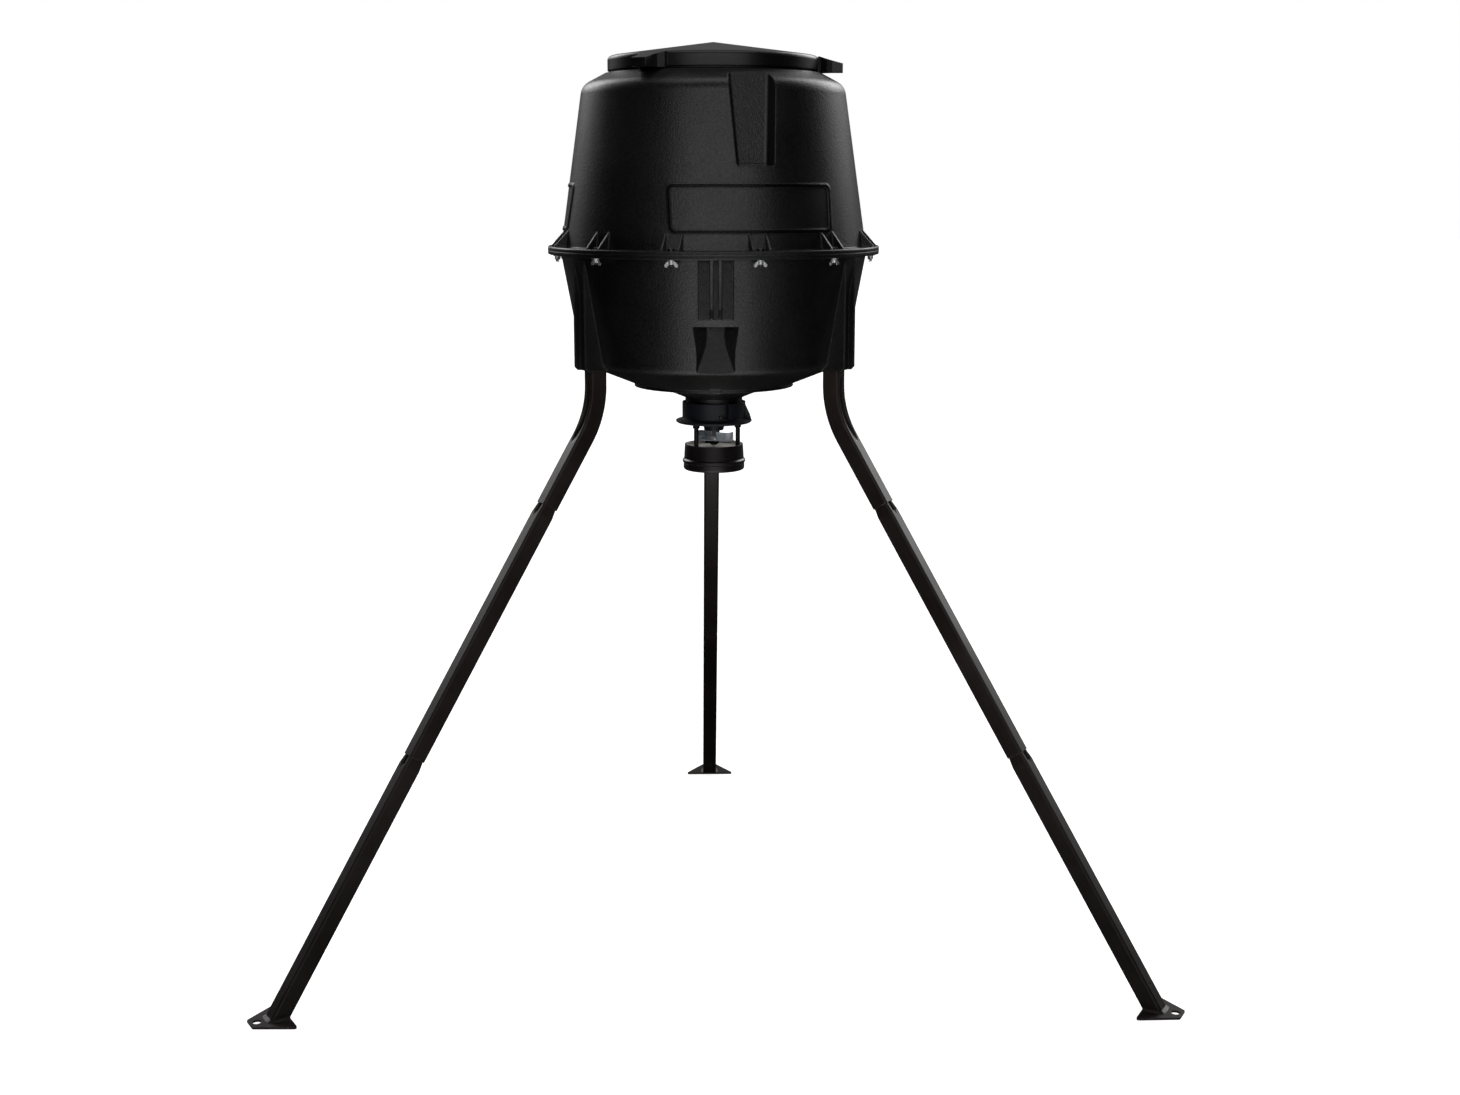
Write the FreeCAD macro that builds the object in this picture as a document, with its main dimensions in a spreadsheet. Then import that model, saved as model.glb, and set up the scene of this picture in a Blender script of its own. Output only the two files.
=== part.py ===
"""Spin cast feeder: a two-piece plastic barrel on three push-together tube legs, with a
push-on lid and, under the outlet, a quick-lock feeder kit that holds the motor, spinner and timer.

Frame: millimetres, +Z up. The ground is z = 0 and the barrel's axis is the Z axis.
An azimuth is counted from the front (-Y) towards +X."""

import FreeCAD
import Part
import Sketcher
import math
import os

from FreeCAD import Placement, Rotation, Vector

UP = Vector(0, 0, 1)
NEAR = 0.1

# ---------------------------------------------------------------- driving dimensions

SIZES = {
    # barrel, both halves
    "flange_radius": 308, "parting_height": 1322, "flange_thick": 7.5, "wall_thick": 4,
    "bolt_circle": 296, "bolt_count": 12, "bolt_hole": 3.4,
    # upper half
    "wall_base": 283, "shoulder_radius": 241.2, "shoulder_height": 1617, "shoulder_round": 28,
    "deck_radius": 199.5, "deck_height": 1639, "mouth_radius": 188, "mouth_inner": 182,
    "mouth_top": 1660, "gusset_thick": 3.5, "gusset_reach": 304, "gusset_rise": 31,
    "gusset_offset": 15, "flange_turn": 15, "edge_round": 2.5,
    "hand_bottom": 1472, "hand_top": 1640, "hand_depth": 26,
    "hand_low_half": 35, "hand_high_half": 45, "hand_side_slope": 0.31, "hand_corner": 7,
    "hand_reach": 300,
    "panel_low": 1358, "panel_high": 1443, "panel_half": 150, "panel_line": 7, "panel_relief": 1.5,
    "panel_corner": 12, "feature_azimuth": 15.5,
    # lower half
    "wall_top": 284, "wall_foot": 247, "foot_height": 1113, "foot_round": 22, "lip_radius": 150,
    "lip_top": 1074, "lip_base": 1068.5, "lip_inner": 135, "cone_radius": 82, "cone_height": 1057,
    "neck_radius": 54, "neck_top": 1045.5, "neck_base": 1006, "neck_bore": 50,
    "boss_face": 285, "boss_base": 1211, "boss_half": 30.5, "boss_rib_half": 4.5,
    "boss_groove_half": 10.5, "boss_groove_floor": 268,
    "foot_scoop_top": 1198, "foot_scoop_base": 1095, "foot_scoop_floor": 243, "foot_scoop_reach": 47,
    "tab_half": 11, "peg_radius": 3.2, "peg_reach": 61.5,
    "peg_height": 1012.6, "peg_azimuth": 12,
    # leg sockets
    "socket_inner": 229, "socket_face": 282, "socket_half": 23, "socket_base": 1109,
    "socket_groove_half": 18.3, "socket_groove_floor": 271, "socket_chamfer": 6,
    # legs
    "leg_radius": 251, "leg_top": 1290, "tube_side": 31.75, "tube_corner": 4.5, "tube_wall": 1.5,
    "tube_play": 0.25, "bend_height": 1030.8, "bend_radius": 180, "leg_lean": 32.17,
    "joint_one": 193.5, "joint_two": 703.9, "swage_side": 28.2, "swage_length": 60,
    "taper_length": 18, "flute_round": 9, "flute_depth": 6, "flute_fade": 40, "dent_radius": 105,
    "dent_round": 11, "dent_depth": 7, "ground_margin": 30,
    "pin_hole": 2.5, "pin_hole_height": 41,
    # feet
    "plate_thick": 4, "plate_inner": 879, "plate_outer": 947, "plate_inner_half": 57.5,
    "plate_outer_half": 16.5, "plate_corner": 4, "stake_circle": 934, "stake_hole": 8,
    # flange fasteners
    "bolt_radius": 3, "bolt_head_radius": 6, "bolt_head_thick": 4, "bolt_end": 1304,
    "washer_radius": 8, "washer_thick": 1.2, "nut_radius": 5.2, "nut_thick": 6.5,
    "wing_span": 12.2, "wing_drop": 11.5, "wing_thick": 2.4,
    # lid
    "lid_radius": 193.6, "lid_wall": 3, "lid_base": 1644, "lid_edge": 1669, "lid_peak": 1696,
    "lid_round": 8, "lug_reach": 237, "lug_half": 15.5, "lug_root_half": 30, "lug_base": 1641,
    "lug_tip_top": 1656, "lug_azimuth": 86, "seal_top": 1665, "seal_outer": 189.6,
    "seal_inner": 180,
    # feeder kit: adaptor and funnel
    "adaptor_bore": 55.2, "adaptor_radius": 59.9, "adaptor_top": 1037, "adaptor_base": 997.5,
    "adaptor_ledge": 45, "ledge_thick": 3, "skirt_radius": 72, "skirt_top": 1006.5,
    "slot_low": 1009, "slot_high": 1015.9, "slot_left": -4, "slot_entry": 8.3, "slot_right": 15.5,
    "lever_half": 11, "lever_top": 1029,
    "funnel_rim": 54.5, "funnel_top": 1004, "funnel_bore": 13, "spout_radius": 18,
    "spout_flare": 3.5, "spout_base": 982.5, "spout_root": 26,
    # feeder kit: posts and housing
    "post_circle": 47, "post_radius": 4.3, "post_collar": 6.4, "collar_height": 8,
    "post_azimuth": -46, "screw_radius": 2, "screw_hole": 2.1, "screw_head": 4,
    "housing_rim": 55.4, "rim_top": 956, "rim_wall": 2.5, "housing_waist": 57, "bead_radius": 59.9,
    "bead_top": 926.5, "bead_base": 922.5, "housing_base": 921, "skirt_bore": 54.6,
    "deck_top": 950, "deck_thick": 3, "deck_skirt": 53.3, "skirt_step": 931, "deck_bore": 3.6,
    "pan_radius": 52.6, "pan_thick": 0.8,
    "cover_radius": 58, "cover_base": 907, "cover_floor": 2, "cover_top": 920, "cover_round": 5,
    "spigot_radius": 54.3, "spigot_bore": 52.3, "spigot_top": 926, "gasket_radius": 57,
    # motor and spinner
    "can_radius": 12, "can_bore": 11.2, "can_base": 929, "cap_base": 927.5, "can_top": 946.8,
    "bearing_radius": 3.4, "bearing_top": 952, "shaft_radius": 1.5, "shaft_play": 0.04,
    "shaft_base": 928, "shaft_top": 970, "rotor_radius": 8, "rotor_base": 932, "rotor_top": 942,
    "magnet_inner": 9, "magnet_outer": 11.1, "hub_radius": 6, "hub_base": 954, "hub_top": 963,
    "hub_fin_radius": 12, "hub_fin_count": 10, "hub_fin_thick": 1.6,
    "plate_half_length": 38, "plate_half_width": 17, "spinner_thick": 1.6, "vane_top": 979,
    "vane_thick": 1.6, "spinner_azimuth": 72, "spin_nut_radius": 3.4, "spin_nut_thick": 4,
    # timer and batteries
    "board_radius": 42, "board_bore": 13, "board_base": 927.6, "board_thick": 1.6,
    "panel_box_half": 22, "panel_box_front": 46, "panel_box_back": 28, "panel_box_base": 914,
    "panel_box_wall": 1.5, "display_half": 13, "display_front": 44, "display_back": 37,
    "button_radius": 2.4, "button_hole": 2.6, "button_pitch": 13, "button_place": 33,
    "button_base": 913, "button_top": 919, "button_flange": 3.2,
    "cell_radius": 7.2, "cell_half": 24.9, "cell_near": 21, "cell_far": 35.6, "cell_height": 918.4,
    "tray_inner": 13.4, "tray_outer": 43.2, "tray_half": 27, "tray_top": 927.4, "tray_roof": 926,
    "tray_base": 912, "contact_thick": 0.5,
}


class Size:
    """A length together with the sheet expression that gives it."""

    def __init__(self, value, text):
        self.value = value
        self.text = text

    def _with(self, other, sign, swap=False):
        other = as_size(other)
        left, right = (other, self) if swap else (self, other)
        results = {
            "+": lambda a, b: a + b,
            "-": lambda a, b: a - b,
            "*": lambda a, b: a * b,
            "/": lambda a, b: a / b,
        }
        return Size(results[sign](left.value, right.value), f"({left.text} {sign} {right.text})")

    def __add__(self, other):
        return self._with(other, "+")

    def __radd__(self, other):
        return self._with(other, "+", swap=True)

    def __sub__(self, other):
        return self._with(other, "-")

    def __rsub__(self, other):
        return self._with(other, "-", swap=True)

    def __mul__(self, other):
        return self._with(other, "*")

    def __rmul__(self, other):
        return self._with(other, "*", swap=True)

    def __truediv__(self, other):
        return self._with(other, "/")

    def __neg__(self):
        return 0 - self


def as_size(value):
    """Any number as a Size."""
    return value if isinstance(value, Size) else Size(float(value), repr(float(value)))


class Sheet:
    """The spreadsheet of driving dimensions; each is an attribute holding a Size."""

    def __init__(self, doc, sizes):
        cells = doc.addObject("Spreadsheet::Sheet", "dims")
        for row, (name, value) in enumerate(sizes.items(), start=1):
            cells.set(f"A{row}", name)
            cells.set(f"B{row}", str(value))
            cells.setAlias(f"B{row}", name)
            setattr(self, name, Size(float(value), f"dims.{name}"))


doc = FreeCAD.newDocument("spin_cast_feeder")
S = Sheet(doc, SIZES)
doc.recompute()
nodes = []

# ---------------------------------------------------------------- helpers


def bind(obj, prop, size):
    """Set a property and bind it to the sheet."""
    size = as_size(size)
    setattr(obj, prop, size.value)
    obj.setExpression(prop, size.text)


def turn(azimuth):
    """Placement that turns a shape made at the front (-Y) to an azimuth."""
    return Placement(Vector(), Rotation(UP, azimuth))


def radial(azimuth):
    """Placement that turns a shape made along +X to an azimuth."""
    return Placement(Vector(), Rotation(UP, azimuth - 90))


def node(obj, label, placement=None):
    """Name an object as a finished sub-part and give it its place."""
    obj.Label = label
    obj.Placement = placement or Placement()
    nodes.append(obj)
    return obj


def new_body(name):
    return doc.addObject("PartDesign::Body", name)


def origin(body, role):
    """The body's own plane or axis with this role."""
    return next(f for f in body.Origin.OriginFeatures if f.Role == role)


def sketch(body, role, offset=0, lift=None):
    """A new sketch on one of the body's planes, moved along the plane's normal."""
    sk = body.newObject("Sketcher::SketchObject", "sketch")
    sk.AttachmentSupport = [(origin(body, role), "")]
    sk.MapMode = "FlatFace"
    offset = as_size(offset)
    sk.AttachmentOffset = lift or Placement(Vector(0, 0, offset.value), Rotation())
    if lift is None and offset.value:
        sk.setExpression("AttachmentOffset.Base.z", offset.text)
    return sk


def hold(sk, geo, pos, x, y):
    """Hold a sketch point at its distances from the sketch origin."""
    for axis, kind, size in ((-2, "DistanceX", as_size(x)), (-1, "DistanceY", as_size(y))):
        if abs(size.value) < 1e-9:
            sk.addConstraint(Sketcher.Constraint("PointOnObject", geo, pos, axis))
            continue
        index = sk.addConstraint(Sketcher.Constraint(kind, -1, 1, geo, pos, size.value))
        sk.setExpression(f"Constraints[{index}]", size.text)


def polygon(sk, points):
    """A closed polygon whose corners are held one by one."""
    corners = [(as_size(x), as_size(y)) for x, y in points]
    ends = corners[1:] + corners[:1]
    first = sk.GeometryCount
    for (x, y), (next_x, next_y) in zip(corners, ends):
        line = Part.LineSegment(Vector(x.value, y.value, 0), Vector(next_x.value, next_y.value, 0))
        sk.addGeometry(line, False)
    for i in range(len(corners)):
        after = first + (i + 1) % len(corners)
        sk.addConstraint(Sketcher.Constraint("Coincident", first + i, 2, after, 1))
    for i, (x, y) in enumerate(corners):
        hold(sk, first + i, 1, x, y)


def rectangle(sk, x_low, x_high, y_low, y_high):
    polygon(sk, [(x_low, y_low), (x_high, y_low), (x_high, y_high), (x_low, y_high)])


def rounded_rectangle(sk, x_low, x_high, y_low, y_high, corner):
    """A rectangle with tangent arcs at its corners."""
    x_low, x_high, y_low, y_high, corner = map(as_size, (x_low, x_high, y_low, y_high, corner))
    r = corner.value
    left, right, low, high = x_low.value, x_high.value, y_low.value, y_high.value
    centres = [(right - r, low + r), (right - r, high - r), (left + r, high - r), (left + r, low + r)]
    sides = [
        ((left + r, low), (right - r, low)),
        ((right, low + r), (right, high - r)),
        ((right - r, high), (left + r, high)),
        ((left, high - r), (left, low + r)),
    ]
    first = sk.GeometryCount
    for i, ((start, end), centre) in enumerate(zip(sides, centres)):
        sk.addGeometry(Part.LineSegment(Vector(*start, 0), Vector(*end, 0)), False)
        circle = Part.Circle(Vector(*centre, 0), UP, r)
        angle = math.radians(90 * i - 90)
        sk.addGeometry(Part.ArcOfCircle(circle, angle, angle + math.pi / 2), False)
    for i in range(4):
        line = first + 2 * i
        arc = line + 1
        after = first + (2 * i + 2) % 8
        sk.addConstraint(Sketcher.Constraint("Tangent", line, 2, arc, 1))
        sk.addConstraint(Sketcher.Constraint("Tangent", arc, 2, after, 1))
        sk.addConstraint(Sketcher.Constraint("Horizontal" if i % 2 == 0 else "Vertical", line))
        index = sk.addConstraint(Sketcher.Constraint("Radius", arc, r))
        sk.setExpression(f"Constraints[{index}]", corner.text)
    for side, kind, size in (
        (0, "DistanceY", y_low), (2, "DistanceX", x_high), (4, "DistanceY", y_high), (6, "DistanceX", x_low)
    ):
        index = sk.addConstraint(Sketcher.Constraint(kind, -1, 1, first + side, 1, size.value))
        sk.setExpression(f"Constraints[{index}]", size.text)


def circle(sk, x, y, radius):
    x, y, radius = map(as_size, (x, y, radius))
    geo = sk.addGeometry(Part.Circle(Vector(x.value, y.value, 0), UP, radius.value), False)
    index = sk.addConstraint(Sketcher.Constraint("Radius", geo, radius.value))
    sk.setExpression(f"Constraints[{index}]", radius.text)
    if abs(x.value) < 1e-9 and abs(y.value) < 1e-9:
        sk.addConstraint(Sketcher.Constraint("Coincident", geo, 3, -1, 1))
    else:
        hold(sk, geo, 3, x, y)


def pad(body, sk, length, both=False, flip=False):
    """Pad a sketch, to one side or half to each side of its plane."""
    feature = body.newObject("PartDesign::Pad", "pad")
    feature.Profile = (sk, [""])
    bind(feature, "Length", length)
    feature.SideType = "Symmetric" if both else "One side"
    feature.Reversed = flip
    return feature


def pocket(body, sk, length, both=False, flip=False):
    """Cut a sketch out of the body and make sure that it removed something."""
    doc.recompute()
    before = body.Shape.Volume
    feature = body.newObject("PartDesign::Pocket", "pocket")
    feature.Profile = (sk, [""])
    bind(feature, "Length", length)
    feature.SideType = "Symmetric" if both else "One side"
    feature.Reversed = flip
    doc.recompute()
    if not body.Shape.Volume < before - 1e-3:
        raise RuntimeError(f"a pocket of {body.Name} removes nothing")
    return feature


def revolve(body, points, angle=360):
    """Turn a profile of (radius, height) points about the Z axis."""
    sk = sketch(body, "XZ_Plane")
    polygon(sk, points)
    feature = body.newObject("PartDesign::Revolution", "revolution")
    feature.Profile = (sk, [""])
    feature.ReferenceAxis = (sk, ["V_Axis"])
    feature.Angle = angle
    return feature


def turned(name, points):
    """A body that is one revolution."""
    body = new_body(name)
    revolve(body, points)
    return body


def around(body, features, count):
    """Repeat features evenly about the Z axis."""
    pattern = body.newObject("PartDesign::PolarPattern", "around")
    pattern.Originals = features
    pattern.Axis = (origin(body, "Z_Axis"), [""])
    pattern.Angle = 360
    pattern.Occurrences = count
    body.Tip = pattern
    doc.recompute()
    return pattern


def edges(feature, test):
    """Names of a feature's edges that pass a test of their midpoint and bounding box."""
    doc.recompute()
    found = []
    for i, edge in enumerate(feature.Shape.Edges, start=1):
        middle = edge.valueAt((edge.FirstParameter + edge.LastParameter) / 2)
        if test(middle, edge.BoundBox):
            found.append(f"Edge{i}")
    if not found:
        raise RuntimeError(f"no edge of {feature.Name} passes the test")
    return found


def ring(radius, height):
    """Test for the circular edges at this radius and height."""
    radius, height = as_size(radius).value, as_size(height).value

    def test(middle, box):
        at_radius = abs(math.hypot(middle.x, middle.y) - radius) < 0.2
        return at_radius and abs(middle.z - height) < 0.2 and box.ZLength < 0.01

    return test


def upright(shortest):
    """Test for vertical straight edges at least this long."""
    return lambda middle, box: box.ZLength > shortest and box.XLength < 0.01 and box.YLength < 0.01


def fillet(body, feature, test, radius):
    """Round the edges of a feature that pass a test."""
    names = edges(feature, test)
    rounded = body.newObject("PartDesign::Fillet", "fillet")
    rounded.Base = (feature, names)
    bind(rounded, "Radius", radius)
    return rounded


def chamfer(body, feature, test, size):
    names = edges(feature, test)
    bevel = body.newObject("PartDesign::Chamfer", "chamfer")
    bevel.Base = (feature, names)
    bind(bevel, "Size", size)
    return bevel


def fuse(name, *parts):
    joined = doc.addObject("Part::MultiFuse", name)
    joined.Shapes = list(parts)
    return joined


def cut(name, base, tool):
    result = doc.addObject("Part::Cut", name)
    result.Base = base
    result.Tool = tool
    return result


def common(name, base, tool):
    result = doc.addObject("Part::Common", name)
    result.Base = base
    result.Tool = tool
    return result


def three_around(name, make):
    """Three copies of a body at 120 degrees."""
    copies = []
    for step in range(3):
        body = make()
        body.Placement = Placement(Vector(), Rotation(UP, 120 * step)).multiply(body.Placement)
        copies.append(body)
    return fuse(name, *copies)


def wall_radius(height):
    """Outer radius of the upper half's tapered wall."""
    foot = S.parting_height + S.flange_thick
    return S.wall_base - (S.wall_base - S.shoulder_radius) * (height - foot) / (S.shoulder_height - foot)


def loft(body, sections):
    """Loft through horizontal outlines, each a (height, corner points) pair."""
    sketches = []
    for height, points in sections:
        sk = sketch(body, "XY_Plane", height)
        polygon(sk, points)
        sketches.append(sk)
    feature = body.newObject("PartDesign::AdditiveLoft", "loft")
    feature.Profile = (sketches[0], [""])
    feature.Sections = [(sk, [""]) for sk in sketches[1:]]
    feature.Ruled = len(sections) == 2
    return feature


def wedge_outline(floor_place, floor_half, slope, reach):
    """Front-facing trapezoid: a floor at y = -floor_place that widens outwards to y = -reach."""
    mouth_half = floor_half + (reach - floor_place) * slope
    return [
        (-floor_half, -floor_place), (-mouth_half, -reach), (mouth_half, -reach), (floor_half, -floor_place),
    ]


# ---------------------------------------------------------------- upper barrel half


def hand_recess(grow):
    """A tapered recess in the wall that opens into the shoulder, grown by a margin."""
    body = new_body("hand_recess")
    low, top = S.hand_bottom - grow, S.hand_top + grow
    mouth = S.hand_reach
    floor_low = wall_radius(S.hand_bottom) - S.hand_depth - grow
    floor_top = wall_radius(S.hand_top) - S.hand_depth - grow
    side = sketch(body, "YZ_Plane")
    polygon(side, [(-floor_low, low), (-mouth, low), (-mouth, top), (-floor_top, top)])
    pad(body, side, S.hand_high_half * 4, both=True)
    slope = S.hand_side_slope
    stretch = math.hypot(1, slope.value)
    shrink = S.hand_depth * slope - grow
    for hand in (-1, 1):
        # seen along the flank, the recess's side wall is one straight line
        flare = Rotation(UP, hand * math.degrees(math.atan(slope.value)))
        flank = sketch(body, "XY_Plane", lift=Placement(
            Vector(), flare.multiply(Rotation(Vector(1, 0, 0), 90)),
        ))
        at_low = (S.hand_low_half - shrink - floor_low * slope) / stretch
        at_top = (S.hand_high_half - shrink - floor_top * slope) / stretch
        outside = S.hand_high_half * 3
        polygon(flank, [
            (hand * at_low, low), (hand * outside, low), (hand * outside, top), (hand * at_top, top),
        ])
        side_wall = pocket(body, flank, mouth * 4, both=True)
    mouth_face, top_face = NEAR - mouth.value, top.value - NEAR

    def inner_edge(middle, box):
        return box.YMax > mouth_face and box.ZMin < top_face

    fillet(body, side_wall, inner_edge, S.hand_corner + grow)
    body.Placement = turn(S.feature_azimuth.value)
    return body


def hand_recesses(name, grow):
    return three_around(name, lambda: hand_recess(grow))


def panel_frames():
    """Three raised rounded-rectangle frames that follow the wall."""
    blocks = new_body("panel_frame_blocks")
    sk = sketch(blocks, "XZ_Plane", 200)
    line = S.panel_line
    rounded_rectangle(sk, -S.panel_half, S.panel_half, S.panel_low, S.panel_high, S.panel_corner)
    rounded_rectangle(
        sk, line - S.panel_half, S.panel_half - line, S.panel_low + line, S.panel_high - line,
        S.panel_corner - line / 2,
    )
    around(blocks, [pad(blocks, sk, 100)], 3)
    blocks.Placement = turn(S.feature_azimuth.value)
    low, high = S.panel_low - 5, S.panel_high + 5
    proud, buried = S.panel_relief, S.wall_thick / 2
    skin = turned("panel_frame_skin", [
        (wall_radius(low) - buried, low), (wall_radius(low) + proud, low),
        (wall_radius(high) + proud, high), (wall_radius(high) - buried, high),
    ])
    return common("panel_frames", blocks, skin)


def flange_gussets():
    """A pair of triangular ribs beside every flange bolt."""
    body = new_body("flange_gussets")
    base = S.parting_height + S.flange_thick / 2
    top = S.parting_height + S.flange_thick
    pads = []
    for side in (-1, 1):
        sk = sketch(body, "XZ_Plane", side * S.gusset_offset)
        polygon(sk, [
            (S.wall_base - 10, base), (S.gusset_reach, base), (S.gusset_reach, top + 2),
            (wall_radius(top + S.gusset_rise) - 1, top + S.gusset_rise),
            (S.wall_base - 10, top + S.gusset_rise - 4),
        ])
        pads.append(pad(body, sk, S.gusset_thick, both=True))
    around(body, pads, int(S.bolt_count.value))
    body.Placement = turn(S.flange_turn.value)
    return body


def bolt_holes(name, low, high):
    body = new_body(name)
    sk = sketch(body, "XY_Plane", low)
    circle(sk, S.bolt_circle, 0, S.bolt_hole)
    around(body, [pad(body, sk, high - low)], int(S.bolt_count.value))
    body.Placement = turn(S.flange_turn.value)
    return body


def barrel_upper():
    part, top = S.parting_height, S.parting_height + S.flange_thick
    wall = S.wall_thick
    outside = new_body("upper_outside")
    shape = revolve(outside, [
        (0, part), (S.flange_radius, part), (S.flange_radius, top), (S.wall_base, top),
        (S.shoulder_radius, S.shoulder_height), (S.deck_radius, S.deck_height),
        (S.mouth_radius, S.deck_height + 2), (S.mouth_radius, S.mouth_top), (0, S.mouth_top),
    ])
    shape = fillet(outside, shape, ring(S.shoulder_radius, S.shoulder_height), S.shoulder_round)
    shape = fillet(outside, shape, ring(S.flange_radius, top), S.edge_round)
    inside = new_body("upper_inside")
    space = revolve(inside, [
        (0, part - 1), (S.wall_base - wall, part - 1), (S.wall_base - wall, top),
        (S.shoulder_radius - wall, S.shoulder_height - 3), (S.deck_radius - 6, S.deck_height - wall - 1),
        (S.mouth_inner, S.deck_height - wall), (S.mouth_inner, S.mouth_top + 1), (0, S.mouth_top + 1),
    ])
    fillet(inside, space, ring(S.shoulder_radius - wall, S.shoulder_height - 3), S.shoulder_round - wall)
    cavity = cut("upper_cavity", inside, hand_recesses("hand_recess_backs", wall))
    solid = fuse("upper_solid", outside, flange_gussets(), panel_frames())
    tools = fuse(
        "upper_tools", cavity, hand_recesses("hand_recess_faces", as_size(0)),
        bolt_holes("upper_bolt_holes", part - 1, top + 1),
    )
    node(cut("upper_shell", solid, tools), "barrel_upper")


# ---------------------------------------------------------------- lower barrel half


def foot_scoops(name, grow):
    """Three bell-shaped recesses at the foot of the wall, grown by a margin."""
    body = new_body(name)
    reach = S.foot_scoop_floor + S.foot_scoop_reach
    span = S.foot_scoop_top - S.foot_scoop_base
    sections = []
    # fraction of the height from the foot, floor half-width, half-width lost per unit of depth
    for fraction, floor_half, slope, margin in (
        (0, 36, 0.5, -1), (0.27, 31, 1.1, 0), (0.55, 20.5, 1.65, 0), (1, 17, 1.45, 1)
    ):
        height = S.foot_scoop_base + span * fraction + grow * margin
        outline = wedge_outline(S.foot_scoop_floor - grow, floor_half + grow, slope, reach)
        sections.append((height, outline))
    around(body, [loft(body, sections)], 3)
    return body


def front_bosses():
    """Three grooved bosses that carry the flange between the legs."""
    body = new_body("flange_bosses")
    sk = sketch(body, "XY_Plane", S.boss_base)
    root = S.foot_scoop_floor
    polygon(sk, [
        (root, -S.boss_half), (S.boss_face, -S.boss_half), (S.boss_face, -S.boss_groove_half),
        (S.boss_groove_floor, -S.boss_groove_half), (S.boss_groove_floor, -S.boss_rib_half),
        (S.boss_face, -S.boss_rib_half), (S.boss_face, S.boss_rib_half),
        (S.boss_groove_floor, S.boss_rib_half), (S.boss_groove_floor, S.boss_groove_half),
        (S.boss_face, S.boss_groove_half), (S.boss_face, S.boss_half), (root, S.boss_half),
    ])
    height = S.parting_height - S.flange_thick / 2 - S.boss_base
    around(body, [pad(body, sk, height)], 3)
    body.Placement = radial(0)
    return body


def leg_sockets():
    """Three upright columns with two outer fins each."""
    def fin_foot(middle, box):
        at_foot = middle.z < (S.socket_base + 1).value
        return at_foot and abs(middle.x - S.socket_face.value) < NEAR and box.ZLength < NEAR

    body = new_body("leg_sockets")
    sk = sketch(body, "XY_Plane", S.socket_base)
    polygon(sk, [
        (S.socket_inner, -S.socket_half), (S.socket_face, -S.socket_half),
        (S.socket_face, -S.socket_groove_half), (S.socket_groove_floor, -S.socket_groove_half),
        (S.socket_groove_floor, S.socket_groove_half), (S.socket_face, S.socket_groove_half),
        (S.socket_face, S.socket_half), (S.socket_inner, S.socket_half),
    ])
    column = pad(body, sk, S.parting_height - S.flange_thick / 2 - S.socket_base)
    chamfer(body, column, fin_foot, S.socket_chamfer)
    body.Placement = radial(60)
    return body


def tube_holes():
    """The square holes that take the tops of the legs."""
    body = new_body("tube_holes")
    sk = sketch(body, "XY_Plane", S.socket_base - 5)
    half = S.tube_side / 2 + S.tube_play
    rounded_rectangle(sk, S.leg_radius - half, S.leg_radius + half, -half, half, S.tube_corner)
    around(body, [pad(body, sk, S.leg_top - S.socket_base + 5)], 3)
    body.Placement = radial(60)
    return body


def neck_pegs():
    """Three round pegs on the outlet neck, for the adaptor's slots."""
    body = new_body("neck_pegs")
    sk = sketch(body, "XZ_Plane", S.neck_bore + 1)
    circle(sk, 0, S.peg_height, S.peg_radius)
    around(body, [pad(body, sk, S.peg_reach - S.neck_bore - 1)], 3)
    body.Placement = turn(S.peg_azimuth.value)
    return body


def lip_tabs():
    """Small tabs on the lower lip, under the foot scoops."""
    body = new_body("lip_tabs")
    sk = sketch(body, "XY_Plane", S.lip_base)
    rectangle(sk, S.lip_inner, S.lip_radius + 8, -S.tab_half, S.tab_half)
    around(body, [pad(body, sk, S.lip_top - S.lip_base + 4)], 3)
    body.Placement = radial(0)
    return body


def barrel_lower():
    part, low = S.parting_height, S.parting_height - S.flange_thick
    wall = S.wall_thick
    outside = new_body("lower_outside")
    shape = revolve(outside, [
        (0, part), (S.flange_radius, part), (S.flange_radius, low), (S.wall_top, low),
        (S.wall_foot, S.foot_height), (S.lip_radius, S.lip_top), (S.lip_radius, S.lip_base),
        (S.lip_inner, S.lip_base), (S.cone_radius, S.cone_height), (S.neck_radius, S.neck_top),
        (S.neck_radius, S.neck_base), (0, S.neck_base),
    ])
    shape = fillet(outside, shape, ring(S.wall_foot, S.foot_height), S.foot_round)
    shape = fillet(outside, shape, ring(S.flange_radius, low), S.edge_round)
    inside = turned("lower_inside", [
        (0, part + 1), (S.wall_top - wall, part + 1), (S.wall_top - wall, low),
        (S.wall_foot - wall, S.foot_height + 5), (S.lip_radius + 75, S.foot_height - 5),
        (S.lip_inner - wall, S.lip_base + wall), (S.cone_radius - wall / 2, S.cone_height + wall),
        (S.neck_bore, S.neck_top + wall), (S.neck_bore, S.neck_base - 1), (0, S.neck_base - 1),
    ])
    sockets = three_around("all_leg_sockets", leg_sockets)
    backs = three_around("socket_backs", leg_sockets)
    kept = fuse("kept_in_cavity", backs, foot_scoops("foot_scoop_backs", wall))
    cavity = cut("lower_cavity", inside, kept)
    solid = fuse("lower_solid", outside, front_bosses(), sockets, neck_pegs(), lip_tabs())
    tools = fuse(
        "lower_tools", cavity, foot_scoops("foot_scoop_faces", as_size(0)), tube_holes(),
        bolt_holes("lower_bolt_holes", low - 1, part + 1),
    )
    node(cut("lower_shell", solid, tools), "barrel_lower")


# ---------------------------------------------------------------- flange fasteners


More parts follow.
